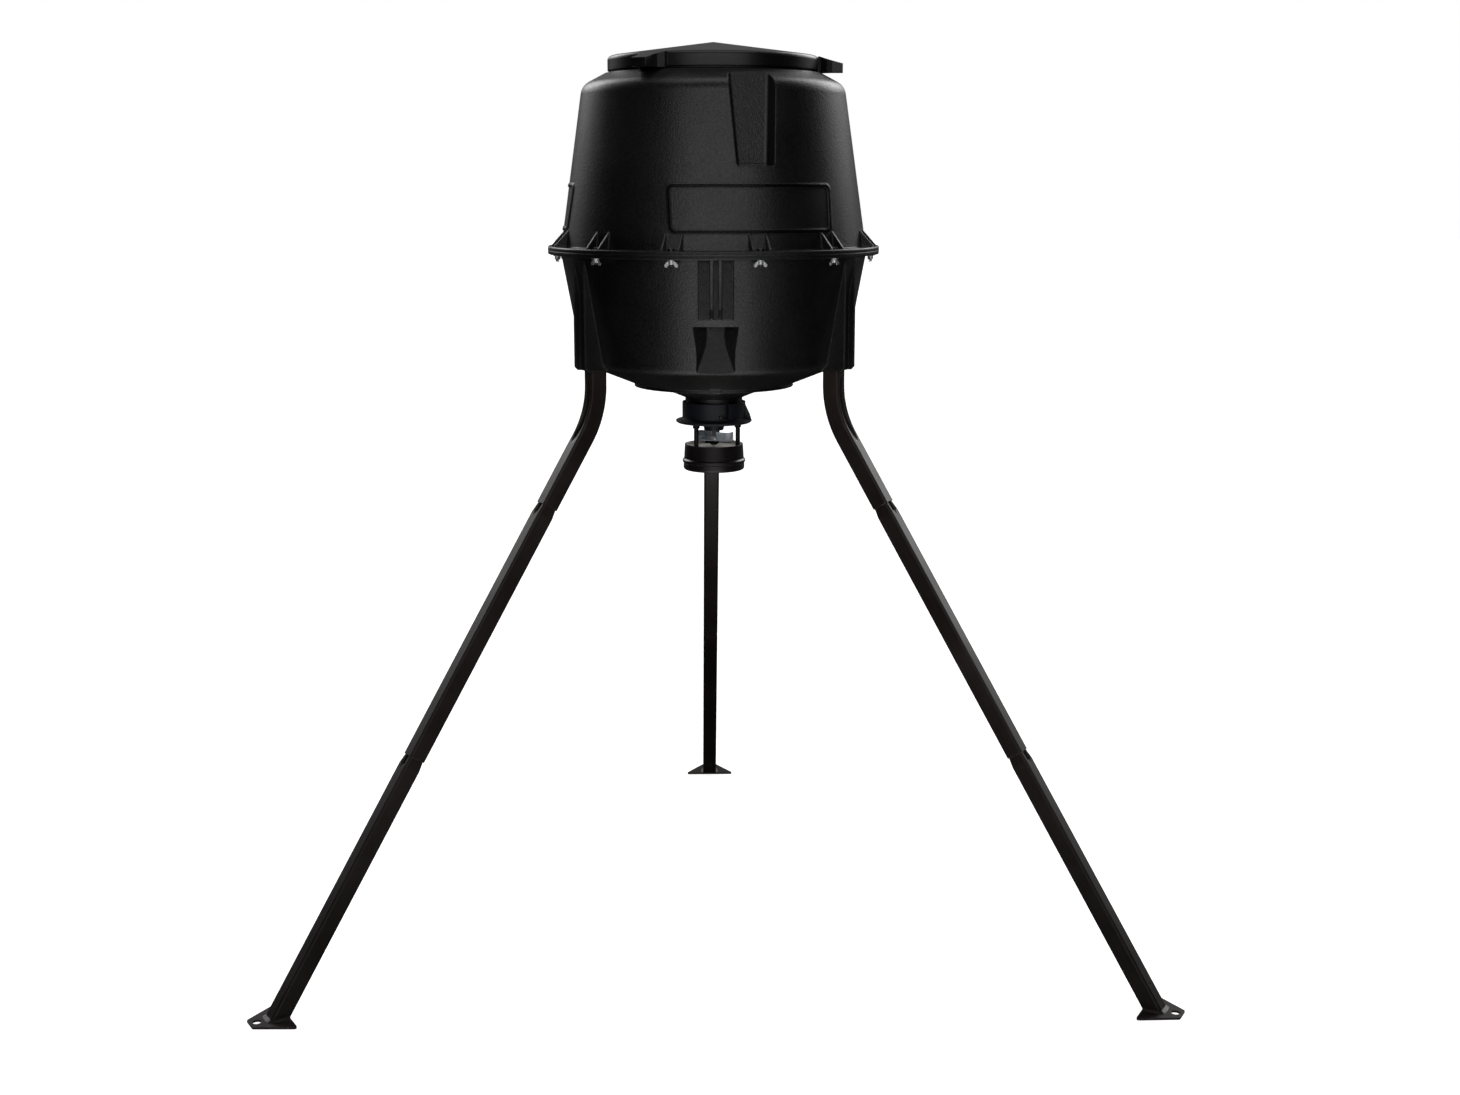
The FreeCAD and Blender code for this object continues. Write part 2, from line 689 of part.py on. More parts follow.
def flange_fasteners():
    """Twelve bolts from above, with washers and wing nuts under the flange."""
    count = int(S.bolt_count.value)
    top, low = S.parting_height + S.flange_thick, S.parting_height - S.flange_thick
    under_washer = low - S.washer_thick

    bolts = new_body("bolts")
    shank = sketch(bolts, "XY_Plane", S.bolt_end)
    circle(shank, S.bolt_circle, 0, S.bolt_radius)
    head = sketch(bolts, "XY_Plane", top)
    circle(head, S.bolt_circle, 0, S.bolt_head_radius)
    shank_pad = pad(bolts, shank, top - S.bolt_end)
    around(bolts, [shank_pad, pad(bolts, head, S.bolt_head_thick)], count)
    node(bolts, "flange_bolts", turn(S.flange_turn.value))

    washers = new_body("washers")
    disc = sketch(washers, "XY_Plane", under_washer)
    circle(disc, S.bolt_circle, 0, S.washer_radius)
    circle(disc, S.bolt_circle, 0, S.bolt_hole)
    around(washers, [pad(washers, disc, S.washer_thick)], count)
    node(washers, "flange_washers", turn(S.flange_turn.value))

    nuts = new_body("wing_nuts")
    hub = sketch(nuts, "XY_Plane", under_washer)
    circle(hub, S.bolt_circle, 0, S.nut_radius)
    circle(hub, S.bolt_circle, 0, S.bolt_radius + 0.1)
    features = [pad(nuts, hub, S.nut_thick, flip=True)]
    for side in (-1, 1):
        wing = sketch(nuts, "YZ_Plane", S.bolt_circle)
        inner, outer = side * (S.nut_radius - 1.2), side * S.wing_span
        polygon(wing, [
            (inner, under_washer - 1), (side * (S.nut_radius + 2), under_washer - 2),
            (outer, under_washer - S.wing_drop + 4), (outer - side * 1.5, under_washer - S.wing_drop),
            (outer - side * 5, under_washer - S.wing_drop + 0.5), (inner, under_washer - S.nut_thick + 0.5),
        ])
        features.append(pad(nuts, wing, S.wing_thick, both=True))
    around(nuts, features, count)
    node(nuts, "flange_wing_nuts", turn(S.flange_turn.value))


# ---------------------------------------------------------------- lid


def lid():
    body = new_body("lid_body")
    radius, wall = S.lid_radius, S.lid_wall
    cap = revolve(body, [
        (0, S.lid_peak), (radius, S.lid_edge), (radius, S.lid_base), (radius - wall, S.lid_base),
        (radius - wall, S.lid_edge - wall), (0, S.lid_peak - wall - 0.5),
    ])
    cap = fillet(body, cap, ring(radius, S.lid_edge), S.lid_round)
    outline = sketch(body, "XY_Plane", S.lug_base)
    root = radius - 2
    polygon(outline, [
        (root, -S.lug_root_half), (radius + 3, -S.lug_root_half + 2), (radius + 14, -S.lug_half - 4),
        (radius + 24, -S.lug_half), (S.lug_reach, -S.lug_half), (S.lug_reach, S.lug_half),
        (radius + 24, S.lug_half), (radius + 14, S.lug_half + 4), (radius + 3, S.lug_root_half - 2),
        (root, S.lug_root_half),
    ])
    lug = pad(body, outline, S.lid_edge - S.lug_base - 1)
    slope = sketch(body, "XZ_Plane")
    polygon(slope, [
        (radius + 1, S.lid_edge - 1), (S.lug_reach + 2, S.lug_tip_top), (S.lug_reach + 2, S.lid_edge + 3),
        (radius + 1, S.lid_edge + 3),
    ])
    top_cut = pocket(body, slope, 100, both=True)
    hollow = sketch(body, "XY_Plane", S.lug_base)
    rim = 3.2
    polygon(hollow, [
        (radius + 2, rim - S.lug_root_half + 8), (radius + 16, rim - S.lug_half),
        (S.lug_reach - rim, rim - S.lug_half), (S.lug_reach - rim, S.lug_half - rim),
        (radius + 16, S.lug_half - rim), (radius + 2, S.lug_root_half - 8 - rim),
    ])
    under = pocket(body, hollow, S.lug_tip_top - S.lug_base - rim, flip=True)
    around(body, [lug, top_cut, under], 3)
    node(body, "lid", radial(S.lug_azimuth.value))

    seal = turned("seal_ring", [
        (S.seal_inner, S.mouth_top), (S.seal_outer, S.mouth_top), (S.seal_outer, S.seal_top),
        (S.seal_inner, S.seal_top),
    ])
    node(seal, "lid_seal")


# ---------------------------------------------------------------- legs


def leg_point(distance):
    """Point of the sloping leg's centre line, this far below the bend's tangent point."""
    lean = math.radians(S.leg_lean.value)
    return Vector(
        S.leg_radius.value + distance * math.sin(lean), 0, S.bend_height.value - distance * math.cos(lean)
    )


def section_on_leg(body, distance):
    """A sketch square to the sloping leg, its normal pointing down the leg."""
    place = Placement(leg_point(distance.value), Rotation(Vector(0, 1, 0), 180 - S.leg_lean.value))
    return sketch(body, "XY_Plane", lift=place)


def bent_pipe(name, half, corner):
    """The upper leg's bent path, swept with a rounded square."""
    body = new_body(name)
    lean = math.radians(S.leg_lean.value)
    setback = S.bend_radius.value * math.tan(lean / 2)
    start = Vector(S.leg_radius.value, S.leg_top.value, 0)
    bend_in = Vector(S.leg_radius.value, S.bend_height.value + setback, 0)
    centre = bend_in + Vector(S.bend_radius.value, 0, 0)
    out = leg_point(setback)
    end = leg_point(S.joint_one.value)
    spine = sketch(body, "XZ_Plane")
    spine.addGeometry(Part.LineSegment(start, bend_in), False)
    bend_circle = Part.Circle(centre, UP, S.bend_radius.value)
    spine.addGeometry(Part.ArcOfCircle(bend_circle, math.pi, math.pi + lean), False)
    spine.addGeometry(Part.LineSegment(Vector(out.x, out.z, 0), Vector(end.x, end.z, 0)), False)
    spine.addConstraint(Sketcher.Constraint("Tangent", 0, 2, 1, 1))
    spine.addConstraint(Sketcher.Constraint("Tangent", 1, 2, 2, 1))
    spine.addConstraint(Sketcher.Constraint("Vertical", 0))
    hold(spine, 0, 1, S.leg_radius, S.leg_top)
    index = spine.addConstraint(Sketcher.Constraint("Radius", 1, S.bend_radius.value))
    spine.setExpression(f"Constraints[{index}]", S.bend_radius.text)
    spine.addConstraint(Sketcher.Constraint("DistanceY", -1, 1, 0, 2, bend_in.y))
    hold(spine, 2, 2, end.x, end.z)
    profile = sketch(body, "XY_Plane", S.leg_top)
    rounded_rectangle(profile, S.leg_radius - half, S.leg_radius + half, -half, half, corner)
    pipe = body.newObject("PartDesign::AdditivePipe", "pipe")
    pipe.Profile = (profile, [""])
    pipe.Spine = (spine, ["Edge1", "Edge2", "Edge3"])
    return body


def bend_dent(name, grow):
    """The shallow flute pressed into the outer side of the bend."""
    dent = doc.addObject("Part::Torus", name)
    bind(dent, "Radius1", S.dent_radius)
    bind(dent, "Radius2", S.dent_round + grow)
    lean = math.radians(S.leg_lean.value)
    setback = S.bend_radius.value * math.tan(lean / 2)
    centre = Vector(S.leg_radius.value + S.bend_radius.value, 0, S.bend_height.value + setback)
    middle = Vector(-math.cos(lean / 2), 0, -math.sin(lean / 2))
    face = S.bend_radius.value - S.tube_side.value / 2
    out_of_tube = face + S.dent_depth.value - S.dent_round.value - S.dent_radius.value
    dent.Placement = Placement(centre + middle * out_of_tube, Rotation(Vector(1, 0, 0), 90))
    return dent


def leg_upper(azimuth, label):
    half, wall = S.tube_side / 2, S.tube_wall
    pipe = bent_pipe(f"{label}_pipe", half, S.tube_corner)
    outside = cut(f"{label}_outside", pipe, bend_dent(f"{label}_dent", 0))
    bore = cut(
        f"{label}_bore", bent_pipe(f"{label}_bore_pipe", half - wall, S.tube_corner - wall),
        bend_dent(f"{label}_dent_back", wall),
    )
    node(cut(f"{label}_tube", outside, bore), label, radial(azimuth))


def stepped_bar(name, joint, end, inset, past):
    """A sloping square bar with a reduced top end: a push-fit tube's outside, or inset as its bore."""
    body = new_body(name)
    corner = S.tube_corner - inset
    shoulder = joint + S.taper_length
    start = joint - S.swage_length - past
    narrow, full = S.swage_side / 2 - inset, S.tube_side / 2 - inset
    outlines = []
    for distance, half in ((start, narrow), (joint, narrow), (shoulder, full)):
        sk = section_on_leg(body, distance)
        rounded_rectangle(sk, -half, half, -half, half, corner)
        outlines.append(sk)
    pad(body, outlines[0], joint - start)
    taper = body.newObject("PartDesign::AdditiveLoft", "taper")
    taper.Profile = (outlines[1], [""])
    taper.Sections = [(outlines[2], [""])]
    taper.Ruled = True
    pad(body, outlines[2], end + past - shoulder)
    return body


def joint_flute(name, joint, grow):
    """The groove pressed into a push-fit end's outward face, which fades out below the joint."""
    lean = math.radians(S.leg_lean.value)
    outward = Vector(math.cos(lean), 0, math.sin(lean))
    centre = S.tube_side.value / 2 + S.flute_round.value - S.flute_depth.value
    down = Rotation(Vector(0, 1, 0), 180 - S.leg_lean.value)
    straight = doc.addObject("Part::Cylinder", f"{name}_straight")
    bind(straight, "Radius", S.flute_round + grow)
    bind(straight, "Height", S.swage_length + S.taper_length)
    straight.Placement = Placement(leg_point((joint - S.swage_length).value) + outward * centre, down)
    straight.Placement.Base -= straight.Placement.Rotation.multVec(UP) * S.taper_length.value
    fade = doc.addObject("Part::Cone", f"{name}_fade")
    bind(fade, "Radius1", S.flute_round + grow)
    bind(fade, "Radius2", grow)
    bind(fade, "Height", S.flute_fade)
    fade.Placement = Placement(leg_point(joint.value) + outward * centre, down)
    return fuse(name, straight, fade)


def push_fit_tube(label, joint, end, bar=None):
    """A sloping square tube whose reduced, fluted top end fits in the tube above it."""
    wall = S.tube_wall
    bar = bar or stepped_bar(f"{label}_bar", joint, end, as_size(0), 0)
    outside = cut(f"{label}_outside", bar, joint_flute(f"{label}_flute", joint, as_size(0)))
    bore = cut(
        f"{label}_bore", stepped_bar(f"{label}_bore_bar", joint, end, wall, 1),
        joint_flute(f"{label}_flute_back", joint, wall),
    )
    return outside, bore


def leg_middle(azimuth, label):
    outside, bore = push_fit_tube(label, S.joint_one, S.joint_two)
    node(cut(f"{label}_tube", outside, bore), label, radial(azimuth))


def leg_lower(azimuth, label):
    lean = math.radians(S.leg_lean.value)
    to_ground = S.bend_height / math.cos(lean)
    past_ground = to_ground + S.ground_margin.value
    bar = stepped_bar(f"{label}_bar", S.joint_two, past_ground, as_size(0), 0)
    foot = S.leg_radius + S.bend_height * math.tan(lean)
    below = sketch(bar, "XZ_Plane")
    rectangle(below, foot - 80, foot + 80, -80, S.plate_thick)
    pocket(bar, below, 100, both=True)
    outside, bore = push_fit_tube(label, S.joint_two, past_ground, bar)
    pin_spot = to_ground - S.pin_hole_height / math.cos(lean)
    pin = doc.addObject("Part::Cylinder", f"{label}_pin_hole")
    bind(pin, "Radius", S.pin_hole)
    bind(pin, "Height", S.tube_side + 10)
    across = Rotation(Vector(0, 1, 0), 90 - S.leg_lean.value)
    half = (S.tube_side / 2 + 5).value
    pin.Placement = Placement(leg_point(pin_spot.value) - across.multVec(UP) * half, across)
    node(cut(f"{label}_tube", outside, fuse(f"{label}_holes", bore, pin)), label, radial(azimuth))


def foot_plate(azimuth, label):
    body = new_body(f"{label}_body")
    outline = sketch(body, "XY_Plane")
    polygon(outline, [
        (S.plate_inner, -S.plate_inner_half), (S.plate_outer, -S.plate_outer_half),
        (S.plate_outer, S.plate_outer_half), (S.plate_inner, S.plate_inner_half),
    ])
    fillet(body, pad(body, outline, S.plate_thick), upright(1), S.plate_corner)
    doc.recompute()
    hole = sketch(body, "XY_Plane")
    circle(hole, S.stake_circle, 0, S.stake_hole)
    pocket(body, hole, S.plate_thick, flip=True)
    node(body, label, radial(azimuth))


def legs():
    for name, azimuth in (("left", -60), ("right", 60), ("rear", 180)):
        leg_upper(azimuth, f"leg_{name}_upper")
        leg_middle(azimuth, f"leg_{name}_middle")
        leg_lower(azimuth, f"leg_{name}_lower")
        foot_plate(azimuth, f"foot_plate_{name}")


# ---------------------------------------------------------------- feeder kit: adaptor to pan


def screw_holes(body, low, length):
    """Cut the three post screws' holes up through a body made with its posts along +X."""
    sk = sketch(body, "XY_Plane", low)
    x, y = post_place(0)
    circle(sk, x, y, S.screw_hole)
    hole = pocket(body, sk, length, flip=True)
    return around(body, [hole], 3)


def post_place(step):
    """Sketch coordinates of a support post."""
    angle = math.radians(S.post_azimuth.value - 90 + 120 * step)
    return S.post_circle * math.cos(angle), S.post_circle * math.sin(angle)


def adaptor():
    """The quick-lock ring: it hangs on the neck's pegs by three L-shaped slots."""
    body = new_body("adaptor_body")
    ledge_top = S.adaptor_base + S.ledge_thick
    revolve(body, [
        (S.adaptor_bore, S.adaptor_top), (S.adaptor_radius, S.adaptor_top), (S.adaptor_radius, S.skirt_top),
        (S.skirt_radius, S.adaptor_base + 4.5), (S.skirt_radius, S.adaptor_base + 2),
        (S.skirt_radius - 3, S.adaptor_base), (S.adaptor_ledge, S.adaptor_base),
        (S.adaptor_ledge, ledge_top), (S.adaptor_bore, ledge_top),
    ])
    lever = sketch(body, "XZ_Plane")
    polygon(lever, [
        (S.adaptor_bore + 2, S.lever_top), (S.adaptor_radius + 0.8, S.lever_top),
        (S.adaptor_radius + 8.7, S.slot_low + 3),
        (S.skirt_radius - 0.5, S.adaptor_base + 4.5), (S.adaptor_bore + 2, S.adaptor_base + 4.5),
    ])
    pad(body, lever, S.lever_half * 2, both=True)
    doc.recompute()
    screw_holes(body, S.adaptor_base - 1, S.ledge_thick + 2)
    slot_side = -(S.adaptor_bore - 8)
    angle = S.peg_azimuth.value
    slot = sketch(body, "XY_Plane", lift=Placement(
        Vector(), Rotation(UP, angle).multiply(Rotation(Vector(1, 0, 0), 90)),
    ))
    inward = Placement(Vector(0, 0, -slot_side.value), Rotation())
    slot.AttachmentOffset = slot.AttachmentOffset.multiply(inward)
    polygon(slot, [
        (S.slot_left, S.slot_low), (S.slot_right, S.slot_low), (S.slot_right, S.adaptor_top + 3),
        (S.slot_entry, S.adaptor_top + 3), (S.slot_entry, S.slot_high), (S.slot_left, S.slot_high),
    ])
    around(body, [pocket(body, slot, 20, flip=True)], 3)
    node(body, "quick_lock_adaptor")


def funnel():
    body = new_body("funnel_body")
    low = S.adaptor_base
    seat = low + S.ledge_thick
    revolve(body, [
        (S.funnel_rim, seat), (S.funnel_rim, S.funnel_top), (S.neck_bore, S.funnel_top),
        (S.funnel_bore, low - 2.5), (S.funnel_bore, S.spout_base), (S.spout_radius, S.spout_base),
        (S.spout_radius + S.spout_flare, low - 2), (S.spout_root, low), (S.adaptor_ledge - 0.5, low),
        (S.adaptor_ledge - 0.5, seat),
    ])
    screw_holes(body, seat - 1, 6)
    node(body, "feed_funnel")


def posts():
    """Three standoffs between the adaptor and the housing, with their long screws."""
    bottom = S.deck_top + S.pan_thick
    top = S.adaptor_base
    post = new_body("post_body")
    features = []
    x, y = post_place(0)
    for low, radius, length in (
        (bottom, S.post_radius + 0.4, as_size(6)),
        (bottom + 6, S.post_radius, top - bottom - 6 - S.collar_height),
        (top - S.collar_height, S.post_collar, S.collar_height),
    ):
        sk = sketch(post, "XY_Plane", low)
        circle(sk, x, y, radius)
        circle(sk, x, y, S.screw_hole)
        features.append(pad(post, sk, length))
    around(post, features, 3)
    node(post, "support_posts")

    screw = new_body("screw_body")
    deck_low = S.deck_top - S.deck_thick
    shank = sketch(screw, "XY_Plane", deck_low)
    circle(shank, x, y, S.screw_radius)
    head = sketch(screw, "XY_Plane", deck_low)
    circle(head, x, y, S.screw_head)
    shank_pad = pad(screw, shank, S.funnel_top - 4 - deck_low)
    around(screw, [shank_pad, pad(screw, head, 2.2, flip=True)], 3)
    node(screw, "post_screws")


def housing():
    deck_low = S.deck_top - S.deck_thick
    body = new_body("housing_body")
    revolve(body, [
        (S.deck_bore, deck_low), (S.deck_skirt, deck_low), (S.skirt_bore, S.skirt_step),
        (S.skirt_bore, S.housing_base),
        (S.cover_radius - 0.5, S.housing_base), (S.bead_radius, S.bead_base), (S.bead_radius, S.bead_top),
        (S.housing_waist, S.bead_top + 2.5), (S.housing_rim, S.rim_top),
        (S.housing_rim - S.rim_wall, S.rim_top), (S.deck_skirt, S.deck_top), (S.deck_bore, S.deck_top),
    ])
    screw_holes(body, deck_low - 1, S.deck_thick + 2)
    node(body, "housing")

    pan = new_body("pan_body")
    floor = S.deck_top + S.pan_thick
    revolve(pan, [
        (S.deck_bore, S.deck_top), (S.pan_radius, S.deck_top), (S.pan_radius, S.rim_top - 0.5),
        (S.pan_radius - S.pan_thick, S.rim_top - 0.5), (S.pan_radius - S.pan_thick, floor),
        (S.deck_bore, floor),
    ])
    screw_holes(pan, S.deck_top - 1, 3)
    node(pan, "catch_pan")

    cover = new_body("cover_body")
    inner_floor = S.cover_base + S.cover_floor
    shape = revolve(cover, [
        (0, S.cover_base), (S.cover_radius, S.cover_base), (S.cover_radius, S.cover_top),
        (S.spigot_radius, S.cover_top), (S.spigot_radius, S.spigot_top), (S.spigot_bore, S.spigot_top),
        (S.spigot_bore, inner_floor), (0, inner_floor),
    ])
    fillet(cover, shape, ring(S.cover_radius, S.cover_base), S.cover_round)
    node(cover, "base_cover")

    gasket = turned("gasket_ring", [
        (S.skirt_bore + 0.1, S.cover_top), (S.gasket_radius, S.cover_top), (S.gasket_radius, S.housing_base),
        (S.skirt_bore + 0.1, S.housing_base),
    ])
    node(gasket, "cover_gasket")


# ---------------------------------------------------------------- motor and spinner


def motor():
    bore = S.shaft_radius + S.shaft_play
    node(turned("can", [
        (bore, S.bearing_top), (S.bearing_radius, S.bearing_top), (S.bearing_radius, S.can_top),
        (S.can_radius, S.can_top), (S.can_radius, S.can_base), (S.can_bore, S.can_base),
        (S.can_bore, S.can_top - 0.8), (bore, S.can_top - 0.8),
    ]), "motor_can")
    node(turned("end_cap", [
        (bore, S.cap_base), (S.can_radius, S.cap_base), (S.can_radius, S.can_base), (bore, S.can_base),
    ]), "motor_end_cap")
    magnets = new_body("magnets")
    arc = revolve(magnets, [
        (S.magnet_inner, S.rotor_base - 1), (S.magnet_outer, S.rotor_base - 1),
        (S.magnet_outer, S.rotor_top + 2), (S.magnet_inner, S.rotor_top + 2),
    ], angle=120)
    around(magnets, [arc], 2)
    node(magnets, "motor_magnets")
    node(turned("rotor", [
        (S.shaft_radius, S.rotor_base), (S.rotor_radius, S.rotor_base), (S.rotor_radius, S.rotor_top),
        (S.shaft_radius, S.rotor_top),
    ]), "motor_rotor")
    node(turned("shaft", [
        (0, S.shaft_base), (S.shaft_radius, S.shaft_base), (S.shaft_radius, S.shaft_top), (0, S.shaft_top),
    ]), "motor_shaft")


def spinner():
    hub = new_body("hub_body")
    core = revolve(hub, [
        (S.shaft_radius, S.hub_base), (S.hub_radius, S.hub_base), (S.hub_radius, S.hub_top),
        (S.shaft_radius, S.hub_top),
    ])
    fin = sketch(hub, "XZ_Plane")
    polygon(fin, [
        (S.hub_radius - 2, S.hub_base + 2), (S.hub_fin_radius - 3, S.hub_base + 2),
        (S.hub_fin_radius, S.hub_top - 2), (S.hub_fin_radius - 2, S.hub_top - 0.4),
        (S.hub_radius - 2, S.hub_top - 4),
    ])
    around(hub, [pad(hub, fin, S.hub_fin_thick, both=True)], int(S.hub_fin_count.value))
    node(hub, "spinner_hub")

    body = new_body("spinner_body")
    thick, low = S.spinner_thick, S.hub_top
    length, width = S.plate_half_length, S.plate_half_width
    disc = sketch(body, "XY_Plane", low)
    rounded_rectangle(disc, -length, length, -width, width, width - 2)
    pad(body, disc, thick)
    vanes = []
    vane = sketch(body, "XY_Plane", low + thick / 2)
    wall = S.vane_thick
    polygon(vane, [
        (7, -width + 8), (length - 9, -width + 2), (length - 3, -width + 9), (length - 1, -2),
        (length - 1, 5), (length - 1 - wall, 5), (length - 1 - wall, -2), (length - 3 - wall, -width + 9.5),
        (length - 9.5, -width + 2 + wall), (7, -width + 8 + wall),
    ])
    vanes.append(pad(body, vane, S.vane_top - low - thick / 2))
    around(body, vanes, 2)
    hole = sketch(body, "XY_Plane", low)
    circle(hole, 0, 0, S.shaft_radius)
    pocket(body, hole, thick, flip=True)
    node(body, "spinner_plate", radial(S.spinner_azimuth.value))

    nut = new_body("spinner_nut_body")
    block = sketch(nut, "XY_Plane", low + thick)
    flats = [(S.spin_nut_radius * math.cos(a), S.spin_nut_radius * math.sin(a)) for a in
             (math.radians(60 * side) for side in range(6))]
    polygon(block, flats)
    circle(block, 0, 0, S.shaft_radius)
    pad(nut, block, S.spin_nut_thick)
    node(nut, "spinner_nut")


# ---------------------------------------------------------------- timer and batteries


def timer():
    board = new_body("board_body")
    disc = sketch(board, "XY_Plane", S.board_base)
    circle(disc, 0, 0, S.board_radius)
    circle(disc, 0, 0, S.board_bore)
    pad(board, disc, S.board_thick)
    node(board, "timer_board")

    panel = new_body("panel_body")
    half, wall = S.panel_box_half, S.panel_box_wall
    front, back = -S.panel_box_front, -S.panel_box_back
    block = sketch(panel, "XY_Plane", S.panel_box_base)
    rectangle(block, -half, half, front, back)
    pad(panel, block, S.board_base - S.panel_box_base)
    inside = sketch(panel, "XY_Plane", S.panel_box_base + wall)
    rectangle(inside, wall - half, half - wall, front + wall, back - wall)
    pocket(panel, inside, S.board_base - S.panel_box_base, flip=True)
    windows = sketch(panel, "XY_Plane", S.panel_box_base)
    rectangle(windows, -S.display_half, S.display_half, -S.display_front, -S.display_back)
    for step in (-1, 0, 1):
        circle(windows, step * S.button_pitch, -S.button_place, S.button_hole)
    pocket(panel, windows, wall, flip=True)
    node(panel, "timer_panel")

    display = new_body("display_body")
    glass = sketch(display, "XY_Plane", S.panel_box_base + 0.3)
    play = 0.1
    front, back = play - S.display_front, -S.display_back - play
    rectangle(glass, play - S.display_half, S.display_half - play, front, back)
    pad(display, glass, wall + 1)
    node(display, "timer_display")

    for step, name in ((-1, "button_down"), (0, "button_set"), (1, "button_up")):
        button = new_body(f"{name}_body")
        stem = sketch(button, "XY_Plane", S.button_base)
        circle(stem, step * S.button_pitch, -S.button_place, S.button_radius)
        pad(button, stem, S.button_top - S.button_base)
        flange = sketch(button, "XY_Plane", S.panel_box_base + wall + 0.1)
        circle(flange, step * S.button_pitch, -S.button_place, S.button_flange)
        pad(button, flange, 1)
        node(button, name)


def batteries():
    cells = new_body("cells_body")
    rows = []
    for place in (S.cell_near, S.cell_far):
        sk = sketch(cells, "XZ_Plane")
        circle(sk, place, S.cell_height, S.cell_radius)
        rows.append(pad(cells, sk, S.cell_half * 2, both=True))
    around(cells, rows, 2)
    node(cells, "battery_cells")

    tray = new_body("tray_body")
    section = sketch(tray, "YZ_Plane", S.tray_inner)
    inner = S.cell_half + S.contact_thick + 0.2
    polygon(section, [
        (-S.tray_half, S.tray_base), (-inner, S.tray_base), (-inner, S.tray_roof),
        (inner, S.tray_roof), (inner, S.tray_base), (S.tray_half, S.tray_base),
        (S.tray_half, S.tray_top), (-S.tray_half, S.tray_top),
    ])
    around(tray, [pad(tray, section, S.tray_outer - S.tray_inner)], 2)
    node(tray, "battery_trays")

    contacts = new_body("contacts_body")
    plates = []
    for side in (-1, 1):
        edge = side * (S.cell_half + S.contact_thick / 2 + 0.1)
        sk = sketch(contacts, "XZ_Plane", edge)
        rectangle(sk, S.tray_inner + 2, S.tray_outer - 2, S.tray_base + 1.5, S.tray_roof - 1.5)
        plates.append(pad(contacts, sk, S.contact_thick, both=True))
    around(contacts, plates, 2)
    node(contacts, "battery_contacts")


# ---------------------------------------------------------------- build, check and export


def check():
    """Stop if any object failed, or any sub-part is empty, invalid or doubly named."""
    doc.recompute()
    for obj in doc.Objects:
        if "Invalid" in obj.State or "Error" in obj.State:
            raise RuntimeError(f"{obj.Name} ({obj.Label}) failed: {obj.State}")
    labels = [obj.Label for obj in nodes]
    if len(set(labels)) != len(labels):
        raise RuntimeError("two sub-parts share a label")
    for obj in nodes:
        if obj.Shape.isNull() or not obj.Shape.isValid() or not obj.Shape.Solids:
            raise RuntimeError(f"{obj.Label} has no valid solid")


def export():
    os.makedirs("parts", exist_ok=True)
    for obj in nodes:
        obj.Shape.exportStep(f"parts/{obj.Label}.step")
        print(f"{obj.Label}: {len(obj.Shape.Solids)} solids, {obj.Shape.Volume / 1000:.1f} cm3")


barrel_lower()
barrel_upper()
flange_fasteners()
lid()
legs()
adaptor()
funnel()
posts()
housing()
motor()
spinner()
timer()
batteries()
check()
export()
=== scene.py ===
"""The looks of a spin cast feeder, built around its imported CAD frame. Metres, +Z up."""
import math
import random

import bpy
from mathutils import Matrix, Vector


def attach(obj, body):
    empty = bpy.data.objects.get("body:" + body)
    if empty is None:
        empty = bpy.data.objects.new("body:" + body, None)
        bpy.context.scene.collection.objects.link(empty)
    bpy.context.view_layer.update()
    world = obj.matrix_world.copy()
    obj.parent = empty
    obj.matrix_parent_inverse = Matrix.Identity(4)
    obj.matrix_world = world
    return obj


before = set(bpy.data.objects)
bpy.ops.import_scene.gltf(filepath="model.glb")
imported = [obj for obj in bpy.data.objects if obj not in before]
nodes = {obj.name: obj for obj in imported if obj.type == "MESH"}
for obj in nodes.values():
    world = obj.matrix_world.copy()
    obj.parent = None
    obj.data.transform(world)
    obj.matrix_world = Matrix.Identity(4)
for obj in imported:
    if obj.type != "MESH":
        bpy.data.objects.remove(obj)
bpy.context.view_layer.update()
MM = 0.001

# ---------------------------------------------------------------- camera, floor and light

SENSOR_WIDTH = 36
LENS = 1820.8 / 1460 * SENSOR_WIDTH
CAMERA_DISTANCE = 3.445
CAMERA_HEIGHT = 1.4522
CAMERA_PITCH = 11.47
CAMERA_AZIMUTH = 0.8
CAMERA_YAW = 0.51
BACKGROUND_WHITE = 1.0
BACKDROP_LIGHT = 5.5
BACKDROP_HEADING = (0.09, 0.996, 0.0)
BACKDROP_FROM, BACKDROP_FULL = 0.3, 0.75
SIDES_FROM, SIDES_FULL, SIDES_LOW = 0.25, 0.5, 0.045
HORIZON_DARK, HORIZON_LIT = 0.05, 0.4
ROOM_LIGHT = 0.012
FLOOR_REACH, FLOOR_TONE, FLOOR_ROUGHNESS, FLOOR_GLOW = 40, 0.9, 0.95, 0.88
BARREL_MIDDLE = (0, 0, 1.25)
FULL_SPREAD = 180
LIGHTS = [
    # name, place, target, size, watts, spread in degrees
    ("front_high", (0.1, -4.2, 2.75), (0, 0, 2.75), (5.4, 1.9), 48, FULL_SPREAD),
    ("front_deep", (0.1, -4.2, -0.95), (0, 0, -0.95), (5.4, 1.9), 30, FULL_SPREAD),
    ("front_low", (0, -1.9, 0.12), BARREL_MIDDLE, (2.0, 0.8), 1.6, 64),
    ("under", (0, -0.5, 0.01), (0, -0.2, 1), (1.2, 1.2), 1.8, 80),
    ("overhead", (0, -0.6, 4.0), BARREL_MIDDLE, (2.4, 1.6), 16, FULL_SPREAD),
]


